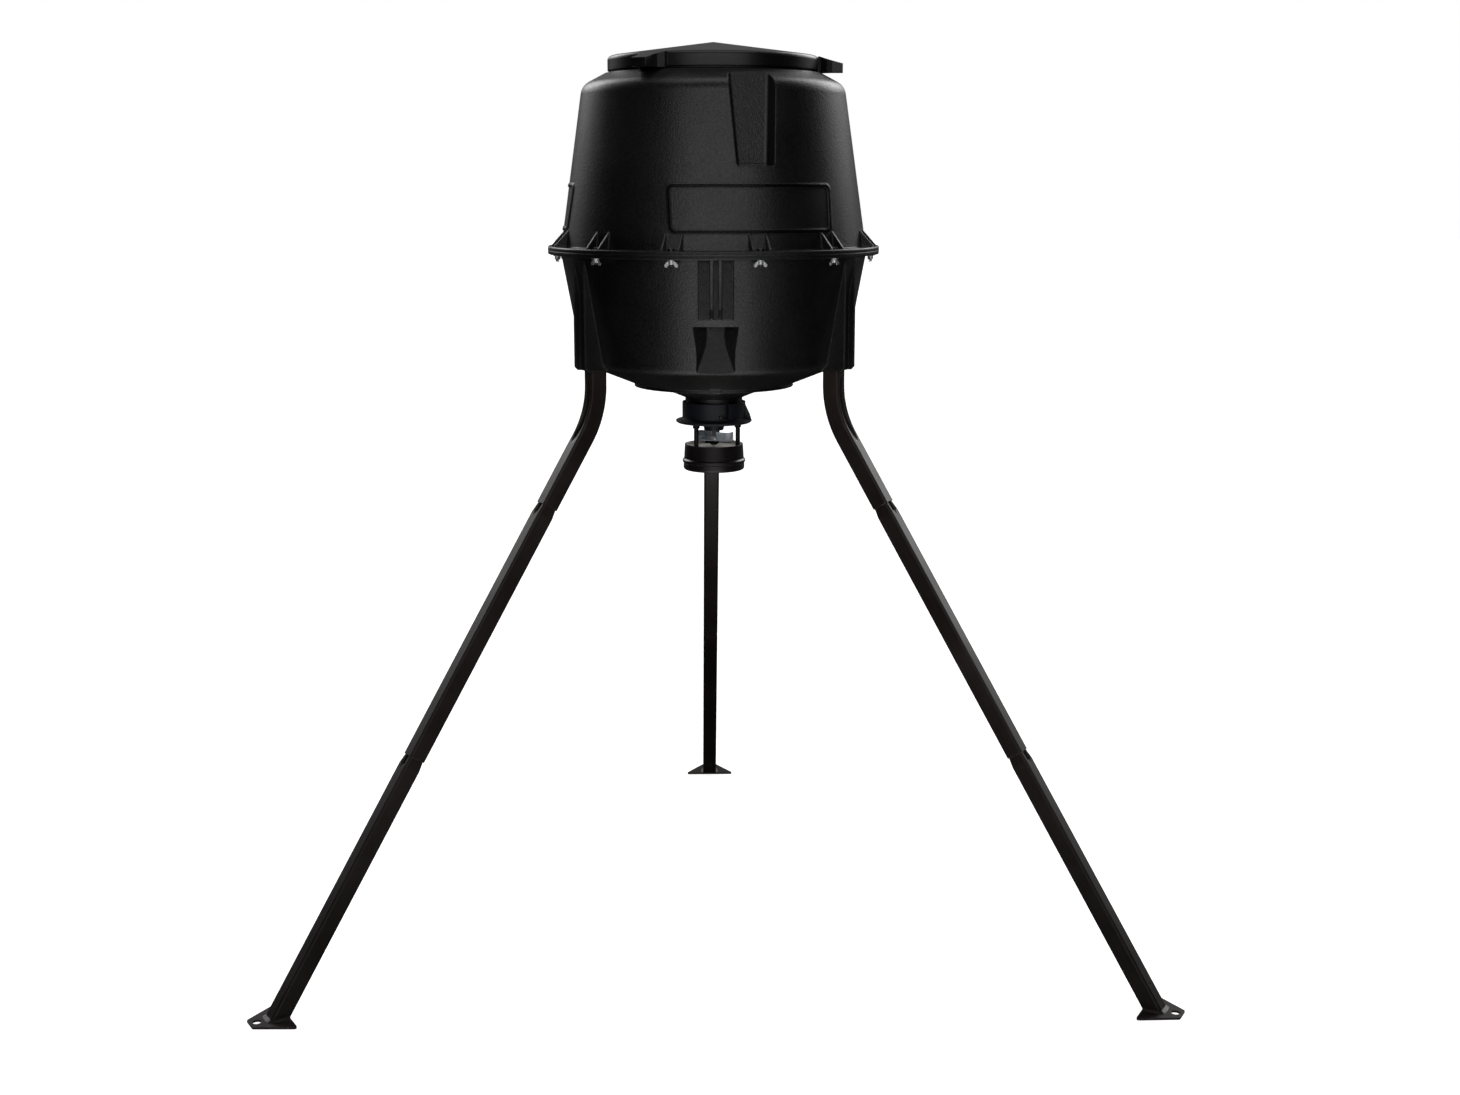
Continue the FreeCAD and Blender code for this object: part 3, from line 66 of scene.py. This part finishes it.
def add_camera():
    data = bpy.data.cameras.new("camera")
    data.sensor_width = SENSOR_WIDTH
    data.lens = LENS
    camera = bpy.data.objects.new("camera", data)
    bpy.context.scene.collection.objects.link(camera)
    swing = math.radians(CAMERA_AZIMUTH)
    across, away = -CAMERA_DISTANCE * math.sin(swing), -CAMERA_DISTANCE * math.cos(swing)
    camera.location = (across, away, CAMERA_HEIGHT)
    heading = math.radians(CAMERA_AZIMUTH + CAMERA_YAW)
    camera.rotation_euler = (math.radians(90 - CAMERA_PITCH), 0, -heading)
    bpy.context.scene.camera = camera


def area_light(name, place, target, size, power, spread):
    data = bpy.data.lights.new(name, "AREA")
    data.shape = "RECTANGLE"
    data.size, data.size_y = size
    data.energy = power
    data.spread = math.radians(spread)
    lamp = bpy.data.objects.new(name, data)
    bpy.context.scene.collection.objects.link(lamp)
    lamp.location = place
    lamp.rotation_euler = (Vector(target) - Vector(place)).to_track_quat("-Z", "Y").to_euler()
    lamp.visible_camera = False


def smooth_step(tree, value, low, high, start, end):
    node = tree.nodes.new("ShaderNodeMapRange")
    node.interpolation_type = "SMOOTHSTEP"
    for socket, number in zip(("From Min", "From Max", "To Min", "To Max"), (low, high, start, end)):
        node.inputs[socket].default_value = number
    tree.links.new(value, node.inputs["Value"])
    return node.outputs["Result"]


def combine(tree, operation, *values):
    node = tree.nodes.new("ShaderNodeMath")
    node.operation = operation
    for socket, value in zip(node.inputs, values):
        tree.links.new(value, socket)
    return node.outputs[0]


def add_world():
    """A white studio: a lit backdrop behind the object, a dim room in front, white to the camera."""
    world = bpy.data.worlds.new("studio")
    world.use_nodes = True
    tree = world.node_tree
    seen = tree.nodes["Background"]
    seen.inputs["Strength"].default_value = BACKGROUND_WHITE
    lighting = tree.nodes.new("ShaderNodeBackground")
    for shader in (seen, lighting):
        shader.inputs["Color"].default_value = (1, 1, 1, 1)
    direction = tree.nodes.new("ShaderNodeTexCoord").outputs["Generated"]
    facing = tree.nodes.new("ShaderNodeVectorMath")
    facing.operation = "DOT_PRODUCT"
    facing.inputs[1].default_value = BACKDROP_HEADING
    tree.links.new(direction, facing.inputs[0])
    axes = tree.nodes.new("ShaderNodeSeparateXYZ")
    tree.links.new(direction, axes.inputs[0])
    backdrop = smooth_step(tree, facing.outputs["Value"], BACKDROP_FROM, BACKDROP_FULL,
                           ROOM_LIGHT, BACKDROP_LIGHT)
    horizon = smooth_step(tree, axes.outputs["Z"], HORIZON_DARK, HORIZON_LIT, ROOM_LIGHT, 1.0)
    across = combine(tree, "ABSOLUTE", axes.outputs["X"])
    sides = smooth_step(tree, across, SIDES_FROM, SIDES_FULL, SIDES_LOW, 1.0)
    above = combine(tree, "MULTIPLY", backdrop, horizon)
    strength = combine(tree, "MULTIPLY", above, sides)
    tree.links.new(strength, lighting.inputs["Strength"])
    ray = tree.nodes.new("ShaderNodeLightPath")
    choice = tree.nodes.new("ShaderNodeMixShader")
    tree.links.new(ray.outputs["Is Camera Ray"], choice.inputs["Fac"])
    tree.links.new(lighting.outputs[0], choice.inputs[1])
    tree.links.new(seen.outputs[0], choice.inputs[2])
    tree.links.new(choice.outputs[0], tree.nodes["World Output"].inputs["Surface"])
    bpy.context.scene.world = world


def add_floor():
    ends = ((-1, -1), (1, -1), (1, 1), (-1, 1))
    corners = [(across * FLOOR_REACH, away * FLOOR_REACH, 0) for across, away in ends]
    mesh = bpy.data.meshes.new("floor")
    mesh.from_pydata(corners, [], [(0, 1, 2, 3)])
    floor = bpy.data.objects.new("floor", mesh)
    bpy.context.scene.collection.objects.link(floor)
    material = bpy.data.materials.new("floor_white")
    material.use_nodes = True
    surface = material.node_tree.nodes["Principled BSDF"]
    surface.inputs["Base Color"].default_value = (FLOOR_TONE, FLOOR_TONE, FLOOR_TONE, 1)
    surface.inputs["Roughness"].default_value = FLOOR_ROUGHNESS
    surface.inputs["Specular IOR Level"].default_value = 0
    surface.inputs["Emission Color"].default_value = (1, 1, 1, 1)
    surface.inputs["Emission Strength"].default_value = FLOOR_GLOW
    mesh.materials.append(material)
    floor.visible_diffuse = False
    floor.visible_glossy = False
    floor.visible_shadow = False


def add_studio():
    add_camera()
    add_world()
    add_floor()
    for settings in LIGHTS:
        area_light(*settings)
    bpy.context.scene.view_settings.view_transform = "Standard"


# ---------------------------------------------------------------- material kit

class Finish:
    """One material's node graph, with short calls for what the finishes share."""

    def __init__(self, name):
        self.material = bpy.data.materials.new(name)
        self.material.use_nodes = True
        self.tree = self.material.node_tree
        self.surface = self.tree.nodes["Principled BSDF"]
        self.place = self.add("ShaderNodeTexCoord").outputs["Object"]
        self.rounding = None

    def add(self, kind, **settings):
        node = self.tree.nodes.new(kind)
        for setting, value in settings.items():
            setattr(node, setting, value)
        return node

    def feed(self, socket, value):
        if isinstance(value, bpy.types.NodeSocket):
            self.tree.links.new(value, socket)
        else:
            socket.default_value = value

    def set(self, **values):
        """set(base_color=…, roughness=…) feeds the surface's own inputs."""
        for label, value in values.items():
            self.feed(self.surface.inputs[INPUT_NAMES[label]], value)

    def stretched(self, scale):
        mapping = self.add("ShaderNodeMapping")
        self.feed(mapping.inputs["Vector"], self.place)
        mapping.inputs["Scale"].default_value = scale
        return mapping.outputs["Vector"]

    def noise(self, size, detail=2, stretch=(1, 1, 1)):
        """Cloudy noise, 0 to 1, whose lumps are about size metres across."""
        texture = self.add("ShaderNodeTexNoise")
        self.feed(texture.inputs["Vector"], self.stretched(stretch))
        texture.inputs["Scale"].default_value = 1 / size
        texture.inputs["Detail"].default_value = detail
        return texture.outputs["Fac"]

    def cells(self, size, feature="F1", output="Distance"):
        texture = self.add("ShaderNodeTexVoronoi", feature=feature)
        self.feed(texture.inputs["Vector"], self.place)
        texture.inputs["Scale"].default_value = 1 / size
        return texture.outputs[output]

    def spread(self, value, low, high, start=0.0, end=1.0):
        """Takes value from the range low to high onto the range start to end."""
        node = self.add("ShaderNodeMapRange")
        self.feed(node.inputs["Value"], value)
        for socket, number in zip(("From Min", "From Max", "To Min", "To Max"), (low, high, start, end)):
            node.inputs[socket].default_value = number
        return node.outputs["Result"]

    def math(self, operation, first, second=0.5):
        node = self.add("ShaderNodeMath", operation=operation)
        self.feed(node.inputs[0], first)
        self.feed(node.inputs[1], second)
        return node.outputs[0]

    def mix(self, factor, first, second):
        node = self.add("ShaderNodeMix", data_type="RGBA")
        self.feed(node.inputs["Factor"], factor)
        for socket, colour in (("A", first), ("B", second)):
            target = [s for s in node.inputs if s.name == socket and s.type == "RGBA"][0]
            self.feed(target, colour)
        return [s for s in node.outputs if s.type == "RGBA"][0]

    def rounded(self, radius):
        """The normal with every edge rounded over, as a moulding or rolled tube has it."""
        if self.rounding is None:
            bevel = self.add("ShaderNodeBevel", samples=4)
            bevel.inputs["Radius"].default_value = radius
            self.rounding = bevel.outputs["Normal"]
        return self.rounding

    def edges(self, radius, low=0.02, high=0.25):
        """1 along an edge, where handling wears the finish, and 0 away from it. On the legs the same mask
        also places a painted highlight.
        """
        normal = self.add("ShaderNodeNewGeometry").outputs["Normal"]
        product = self.add("ShaderNodeVectorMath", operation="DOT_PRODUCT")
        self.feed(product.inputs[0], self.rounded(radius))
        self.feed(product.inputs[1], normal)
        turned = self.math("SUBTRACT", 1.0, product.outputs["Value"])
        return self.spread(turned, low, high)

    def bump(self, height, depth, normal=None):
        node = self.add("ShaderNodeBump")
        node.inputs["Distance"].default_value = depth
        self.feed(node.inputs["Height"], height)
        if normal is not None:
            self.feed(node.inputs["Normal"], normal)
        return node.outputs["Normal"]


INPUT_NAMES = {
    "base_color": "Base Color",
    "metallic": "Metallic",
    "roughness": "Roughness",
    "specular": "Specular IOR Level",
    "coat": "Coat Weight",
    "coat_roughness": "Coat Roughness",
    "normal": "Normal",
}


def grey(level, warmth=0.0):
    return (level * (1 + warmth), level, level * (1 - warmth), 1)


# ---------------------------------------------------------------- finishes

def moulded(name, colour, light, roughness, grain, depth, edge=1.6 * MM, specular=0.5):
    """Moulded plastic: a fine all-over grain, faint flow clouds, and edges rubbed a little paler."""
    f = Finish(name)
    clouds = f.noise(0.16, detail=4)
    flow = f.noise(0.035, detail=3, stretch=(1, 1, 0.35))
    fine = f.noise(grain, detail=4)
    pits = f.cells(grain * 0.6)
    tone = f.mix(f.spread(clouds, 0.35, 0.68), colour, light)
    speckled = f.mix(f.spread(fine, 0.45, 0.8, 0.0, 0.55), tone, light)
    rub = f.math("MULTIPLY", f.edges(edge), f.spread(flow, 0.4, 0.7, 0.1, 0.6))
    worn = f.mix(rub, speckled, grey(0.035))
    sheen = f.math("ADD", f.spread(clouds, 0.3, 0.7, roughness - 0.05, roughness + 0.05),
                   f.spread(fine, 0.3, 0.7, -0.05, 0.05))
    wave = f.bump(flow, 0.25 * MM, f.rounded(edge))
    pitted = f.bump(pits, depth * 0.6, wave)
    grained = f.bump(fine, depth, pitted)
    f.set(base_color=worn, roughness=sheen, normal=grained, specular=specular)
    return f.material


def barrel_plastic():
    return moulded("barrel_plastic", grey(0.003, 0.03), grey(0.0065, 0.03), 0.36, 4.5 * MM, 0.3 * MM,
                   edge=3.5 * MM)


# painted shade: the lower barrel gets a darker, less reflective copy of the barrel plastic, standing for
# the shade on its downward-facing wall
def barrel_plastic_dark():
    return moulded("barrel_plastic_dark", grey(0.0022), grey(0.0045), 0.38, 4.5 * MM, 0.26 * MM,
                   edge=2.5 * MM, specular=0.45)


def lid_plastic():
    return moulded("lid_plastic", grey(0.003), grey(0.006), 0.34, 1.6 * MM, 0.08 * MM)


def kit_plastic():
    return moulded("kit_plastic", (0.006, 0.0065, 0.0105, 1), (0.011, 0.012, 0.018, 1), 0.5,
                   1.1 * MM, 0.05 * MM, edge=0.8 * MM, specular=0.3)


def hub_plastic():
    return moulded("hub_plastic", grey(0.002), grey(0.005), 0.5, 0.9 * MM, 0.04 * MM, edge=0.5 * MM,
                   specular=0.2)


def housing_plastic():
    """Semi-gloss moulding, brown-black, with faint draw marks down its wall."""
    f = Finish("housing_plastic")
    clouds = f.noise(0.05, detail=4)
    draw = f.noise(0.004, detail=3, stretch=(1, 1, 0.06))
    fine = f.noise(0.9 * MM, detail=2)
    tone = f.mix(f.spread(clouds, 0.3, 0.7), (0.006, 0.0042, 0.0048, 1), (0.012, 0.0085, 0.0095, 1))
    worn = f.mix(f.math("MULTIPLY", f.edges(0.9 * MM), 0.5), tone, (0.09, 0.085, 0.085, 1))
    f.set(base_color=worn, roughness=f.spread(clouds, 0.3, 0.7, 0.28, 0.38), specular=0.32,
          coat=0.06, coat_roughness=0.2,
          normal=f.bump(fine, 0.02 * MM, f.bump(draw, 0.03 * MM, f.rounded(0.9 * MM))))
    return f.material


def leg_paint():
    """Satin brown-black powder coat: orange peel, dust in the lee, and arrises painted pale: rubbed wear
    plus a painted highlight.
    """
    f = Finish("leg_paint")
    peel = f.noise(2.4 * MM, detail=2)
    clouds = f.noise(0.09, detail=5)
    streaks = f.noise(0.012, detail=4, stretch=(1, 1, 0.12))
    fine = f.noise(0.7 * MM, detail=2)
    tone = f.mix(f.spread(clouds, 0.35, 0.7), (0.0135, 0.0088, 0.0088, 1), (0.023, 0.0158, 0.0158, 1))
    dusty = f.mix(f.spread(streaks, 0.5, 0.8, 0.0, 0.5), tone, (0.018, 0.015, 0.0135, 1))
    # painted highlight: the arrises are lightened towards pale grey, both as rubbed wear and as the glint
    # that light puts along them
    rub = f.math("MULTIPLY", f.edges(1.3 * MM), f.spread(streaks, 0.42, 0.62))
    worn = f.mix(rub, dusty, (0.22, 0.21, 0.2, 1))
    f.set(base_color=worn, roughness=f.spread(clouds, 0.3, 0.7, 0.32, 0.46), specular=0.2,
          coat=0.06, coat_roughness=0.14,
          normal=f.bump(fine, 0.015 * MM, f.bump(peel, 0.07 * MM, f.rounded(1.3 * MM))))
    return f.material


def plated(name, dark, light, roughness, spangle, edge=0.4 * MM):
    """Plated metal: cloudy crystals, fine rolling lines and a brighter rubbed edge."""
    f = Finish(name)
    crystals = f.cells(spangle, output="Color")
    tone = f.add("ShaderNodeSeparateColor")
    f.feed(tone.inputs["Color"], crystals)
    patch = f.noise(spangle * 3, detail=4)
    blend = f.math("ADD", f.math("MULTIPLY", tone.outputs["Red"], 0.45), f.math("MULTIPLY", patch, 0.55))
    lines = f.noise(0.25 * MM, detail=2, stretch=(1, 1, 0.1))
    colour = f.mix(f.spread(blend, 0.25, 0.75), dark, light)
    worn = f.mix(f.math("MULTIPLY", f.edges(edge), 0.6), colour, (0.92, 0.92, 0.93, 1))
    f.set(base_color=worn, metallic=1.0,
          roughness=f.spread(blend, 0.2, 0.8, roughness - 0.07, roughness + 0.1),
          normal=f.bump(lines, 0.01 * MM, f.rounded(edge)))
    return f.material


def zinc():
    return plated("zinc", (0.66, 0.67, 0.69, 1), (0.88, 0.89, 0.91, 1), 0.46, 2.5 * MM)


def pan_steel():
    """Galvanised sheet, dulled to a light beige grey, with dust lying in it."""
    f = Finish("pan_steel")
    flakes = f.add("ShaderNodeSeparateColor")
    f.feed(flakes.inputs["Color"], f.cells(7 * MM, output="Color"))
    dust = f.noise(0.02, detail=5)
    tone = f.mix(flakes.outputs["Red"], (0.6, 0.59, 0.55, 1), (0.78, 0.77, 0.73, 1))
    dusty = f.mix(f.spread(dust, 0.4, 0.75, 0.0, 0.7), tone, (0.66, 0.62, 0.55, 1))
    fine = f.noise(0.6 * MM, detail=2)
    f.set(base_color=dusty, metallic=0.1, roughness=f.spread(dust, 0.3, 0.7, 0.32, 0.5),
          normal=f.bump(fine, 0.012 * MM, f.rounded(0.5 * MM)))
    return f.material


def motor_steel():
    return plated("motor_steel", (0.4, 0.4, 0.41, 1), (0.66, 0.66, 0.67, 1), 0.3, 4 * MM)


def copper():
    return plated("copper", (0.42, 0.17, 0.07, 1), (0.75, 0.36, 0.18, 1), 0.28, 1.2 * MM)


def spinner_plastic():
    """Light blue-grey gloss moulding with milky flow and dulling scratches from the feed."""
    f = Finish("spinner_plastic")
    flow = f.noise(0.012, detail=4)
    scratches = f.noise(0.5 * MM, detail=3, stretch=(0.08, 1, 1))
    tone = f.mix(f.spread(flow, 0.35, 0.7), (0.42, 0.46, 0.52, 1), (0.68, 0.72, 0.77, 1))
    rubbed = f.mix(f.math("MULTIPLY", f.edges(0.5 * MM), 0.5), tone, (0.85, 0.87, 0.9, 1))
    f.set(base_color=rubbed, roughness=f.spread(scratches, 0.4, 0.7, 0.14, 0.34), coat=0.3,
          normal=f.bump(scratches, 0.012 * MM, f.rounded(0.5 * MM)))
    return f.material


def soft(name, dark, light, roughness):
    """Rubber: matt, faintly mottled, with a fine moulded skin."""
    f = Finish(name)
    mottle = f.noise(0.01, detail=4)
    skin = f.noise(0.5 * MM, detail=2)
    tone = f.mix(f.spread(mottle, 0.35, 0.7), dark, light)
    bloom = f.mix(f.math("MULTIPLY", f.edges(0.5 * MM), 0.35), tone, grey(0.3))
    f.set(base_color=bloom, roughness=f.spread(skin, 0.3, 0.7, roughness - 0.05, roughness + 0.05),
          normal=f.bump(skin, 0.02 * MM, f.rounded(0.5 * MM)))
    return f.material


def rubber():
    return soft("rubber", grey(0.016), grey(0.03), 0.75)


def button_rubber():
    return soft("button_rubber", grey(0.2), grey(0.29), 0.6)


def ferrite():
    """Ground ceramic magnet: grey, crystalline and slightly glinting."""
    f = Finish("ferrite")
    grain = f.cells(0.6 * MM)
    grinding = f.noise(0.3 * MM, detail=2, stretch=(1, 1, 0.08))
    tone = f.mix(grain, grey(0.07), grey(0.13))
    f.set(base_color=tone, metallic=0.3, roughness=f.spread(grain, 0.1, 0.6, 0.35, 0.55),
          normal=f.bump(grinding, 0.01 * MM, f.rounded(0.4 * MM)))
    return f.material


def board():
    """Green solder mask with the weave of the glass cloth and the copper pour under it."""
    f = Finish("board")
    weave_x = f.noise(0.5 * MM, detail=1, stretch=(0.15, 1, 1))
    weave_y = f.noise(0.5 * MM, detail=1, stretch=(1, 0.15, 1))
    weave = f.math("ADD", weave_x, weave_y)
    pour = f.cells(5 * MM, feature="DISTANCE_TO_EDGE")
    tone = f.mix(f.spread(pour, 0.02, 0.05), (0.012, 0.07, 0.03, 1), (0.03, 0.15, 0.065, 1))
    f.set(base_color=tone, roughness=0.24, coat=0.4,
          normal=f.bump(weave, 0.02 * MM, f.bump(f.spread(pour, 0.02, 0.05), 0.03 * MM)))
    return f.material


def display_glass():
    """A grey-green liquid crystal panel under a clear pane."""
    f = Finish("display_glass")
    depth = f.noise(0.02, detail=3)
    rows = f.noise(0.35 * MM, detail=1, stretch=(1, 0.1, 1))
    tone = f.mix(f.spread(depth, 0.3, 0.7), (0.2, 0.235, 0.17, 1), (0.27, 0.31, 0.235, 1))
    lined = f.mix(f.spread(rows, 0.5, 0.75, 0.0, 0.25), tone, (0.12, 0.14, 0.1, 1))
    f.set(base_color=lined, roughness=f.spread(depth, 0.3, 0.7, 0.06, 0.12), coat=1.0, coat_roughness=0.03)
    return f.material


def cell_jacket():
    """A battery's printed jacket, plain, with a foil sheen and shrink wrinkles."""
    f = Finish("cell_jacket")
    bands = f.noise(0.03, detail=2, stretch=(0.2, 0.2, 1))
    wrinkles = f.noise(2.5 * MM, detail=3, stretch=(1, 1, 0.3))
    tone = f.mix(f.spread(bands, 0.42, 0.58), (0.045, 0.05, 0.06, 1), (0.16, 0.1, 0.035, 1))
    f.set(base_color=tone, metallic=0.4, roughness=f.spread(wrinkles, 0.3, 0.7, 0.22, 0.34), coat=0.5,
          normal=f.bump(wrinkles, 0.03 * MM, f.rounded(0.6 * MM)))
    return f.material


def panel_painted_shade():
    """The raised outline of the panels, flatter and darker than the wall: painted shade along the frame.
    """
    return moulded("panel_painted_shade", grey(0.0012), grey(0.0025), 0.3, 3 * MM, 0.1 * MM, specular=0.12)


# a plated finish much darker than the zinc, given to the flange bolts
def dark_zinc():
    return plated("dark_zinc", (0.05, 0.05, 0.052, 1), (0.12, 0.12, 0.125, 1), 0.4, 2.5 * MM)


FINISHES = {
    make.__name__: make for make in (
        barrel_plastic, barrel_plastic_dark, lid_plastic, kit_plastic, hub_plastic, housing_plastic,
        leg_paint, zinc, pan_steel, motor_steel, copper, spinner_plastic, rubber, button_rubber,
        ferrite, board, display_glass, cell_jacket, panel_painted_shade, dark_zinc)
}
NODE_FINISHES = {"flange_bolts": "dark_zinc"}


def finish_nodes():
    """Gives every CAD node the procedural finish of its material slot."""
    made = {slot: make() for slot, make in FINISHES.items()}
    for name, node in nodes.items():
        for place in node.material_slots:
            slot = place.material.name.split(".")[0]
            place.material = made[NODE_FINISHES.get(name, slot)]
    return made


# ---------------------------------------------------------------- moulded outlines and welds

PANEL_HALF, PANEL_LOW, PANEL_HIGH, PANEL_CORNER, PANEL_STEP = 0.1465, 1.3615, 1.4395, 0.0085, 0.012
PANEL_TURNS = {"front": 15.5, "rear": 135.5, "left": 255.5}
# across the bead, in millimetres: the offset from its middle line and the height over the wall
BEAD = [(-2.9, 1.2), (-2.3, 1.75), (-1.1, 1.95), (0, 2.0), (1.1, 1.95), (2.3, 1.75), (2.9, 1.2)]
WALL_BASE, WALL_TOP = (1.3295, 0.283), (1.617, 0.2412)
LEG_TURNS = {"right": 60, "rear": 180, "left": 300}
LEG_LEAN, TUBE_HALF, TUBE_CORNER = 32.17, 0.015875, 0.0045
FOOT_RADIUS, PLATE_INNER, PLATE_TOP = 0.8969, 0.8791, 0.004
WELD, WELD_STEP = 0.004, 0.0015
# from the tube out to the plate: the reach and the rise, as parts of the weld's size
WELD_ARC = [(0.0, 1.0), (0.25, 0.62), (0.5, 0.4), (0.75, 0.2), (1.0, 0.0)]
RIPPLE_DEPTH, RIPPLE_RATE, RIPPLE_CHANCE = 0.14, 1.9, 0.06


def wall_radius(height):
    (low, at_low), (top, at_top) = WALL_BASE, WALL_TOP
    return at_low + (at_top - at_low) * (height - low) / (top - low)


def rounded_outline(half, low, high, corner, steps=6):
    """Points round a rectangle with rounded corners, as (across, height)."""
    middles = [(half - corner, high - corner), (corner - half, high - corner),
               (corner - half, low + corner), (half - corner, low + corner)]
    points = []
    for quarter, (across, height) in enumerate(middles):
        for step in range(steps + 1):
            angle = math.radians(90 * quarter + 90 * step / steps)
            points.append((across + corner * math.cos(angle), height + corner * math.sin(angle)))
    return points


def divided(points, longest):
    """The closed outline with its long runs cut into short ones, so that it can bend round the wall."""
    result = []
    for start, end in zip(points, points[1:] + points[:1]):
        count = max(1, math.ceil(math.dist(start, end) / longest))
        result += [tuple(a + (b - a) * i / count for a, b in zip(start, end)) for i in range(count)]
    return result


def turned(x, y, z, turn):
    """The point swung round the barrel's axis by turn degrees."""
    swing = math.radians(turn)
    return (x * math.cos(swing) - y * math.sin(swing), x * math.sin(swing) + y * math.cos(swing), z)


def loop_faces(rows, width):
    """Quads from each row of width points to the next, and from the last to the first."""
    faces = []
    for row in range(rows):
        here, there = row * width, (row + 1) % rows * width
        faces += [(here + i, here + i + 1, there + i + 1, there + i) for i in range(width - 1)]
    return faces


def new_piece(name, vertices, faces, material):
    mesh = bpy.data.meshes.new(name)
    mesh.from_pydata(vertices, [], faces)
    mesh.materials.append(material)
    for face in mesh.polygons:
        face.use_smooth = True
    piece = bpy.data.objects.new(name, mesh)
    bpy.context.scene.collection.objects.link(piece)
    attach(piece, "barrel")
    return piece


def panel_outline(name, turn, material):
    """The rounded bead that stands along the panel's raised frame, in a finish of painted shade, darker
    than the wall.
    """
    path = divided(rounded_outline(PANEL_HALF, PANEL_LOW, PANEL_HIGH, PANEL_CORNER), PANEL_STEP)
    vertices = []
    for index, (across, height) in enumerate(path):
        before, after = path[index - 1], path[(index + 1) % len(path)]
        run, rise = after[0] - before[0], after[1] - before[1]
        length = math.hypot(run, rise)
        out = (rise / length, -run / length)
        for offset, proud in BEAD:
            x = across + out[0] * offset * MM
            z = height + out[1] * offset * MM
            radius = wall_radius(z) + proud * MM
            vertices.append(turned(x, -math.sqrt(radius * radius - x * x), z, turn))
    piece = new_piece(name, vertices, loop_faces(len(path), len(BEAD)), material)


def foot_weld(name, turn, material):
    """A rippled fillet weld round the tube where it stands on its foot plate."""
    lean = math.radians(LEG_LEAN)
    outline = divided(rounded_outline(TUBE_HALF, -TUBE_HALF, TUBE_HALF, TUBE_CORNER), WELD_STEP)
    rng = random.Random(name)
    vertices = []
    for index, (across, along) in enumerate(outline):
        wave = RIPPLE_DEPTH * math.sin(index * RIPPLE_RATE)
        size = WELD * (1 + wave + rng.uniform(-RIPPLE_CHANCE, RIPPLE_CHANCE))
        length = math.hypot(across, along)
        for reach, rise in WELD_ARC:
            x = across + across / length * size * reach
            radial = FOOT_RADIUS + (along + along / length * size * reach) / math.cos(lean)
            z = PLATE_TOP + size * rise
            radial = max(radial - (z - PLATE_TOP) * math.tan(lean) * (1 - reach), PLATE_INNER)
            vertices.append(turned(x, -radial, z, turn))
    faces = [(a, d, c, b) for a, b, c, d in loop_faces(len(outline), len(WELD_ARC))]
    piece = new_piece(name, vertices, faces, material)


def add_details(made):
    for place, turn in PANEL_TURNS.items():
        # the panel outlines get painted shade: a darker, less reflective finish than the wall
        panel_outline(f"panel_outline_{place}", turn, made["panel_painted_shade"])
    for place, turn in LEG_TURNS.items():
        foot_weld(f"foot_weld_{place}", turn, made["leg_paint"])


finishes = finish_nodes()
add_details(finishes)
add_studio()
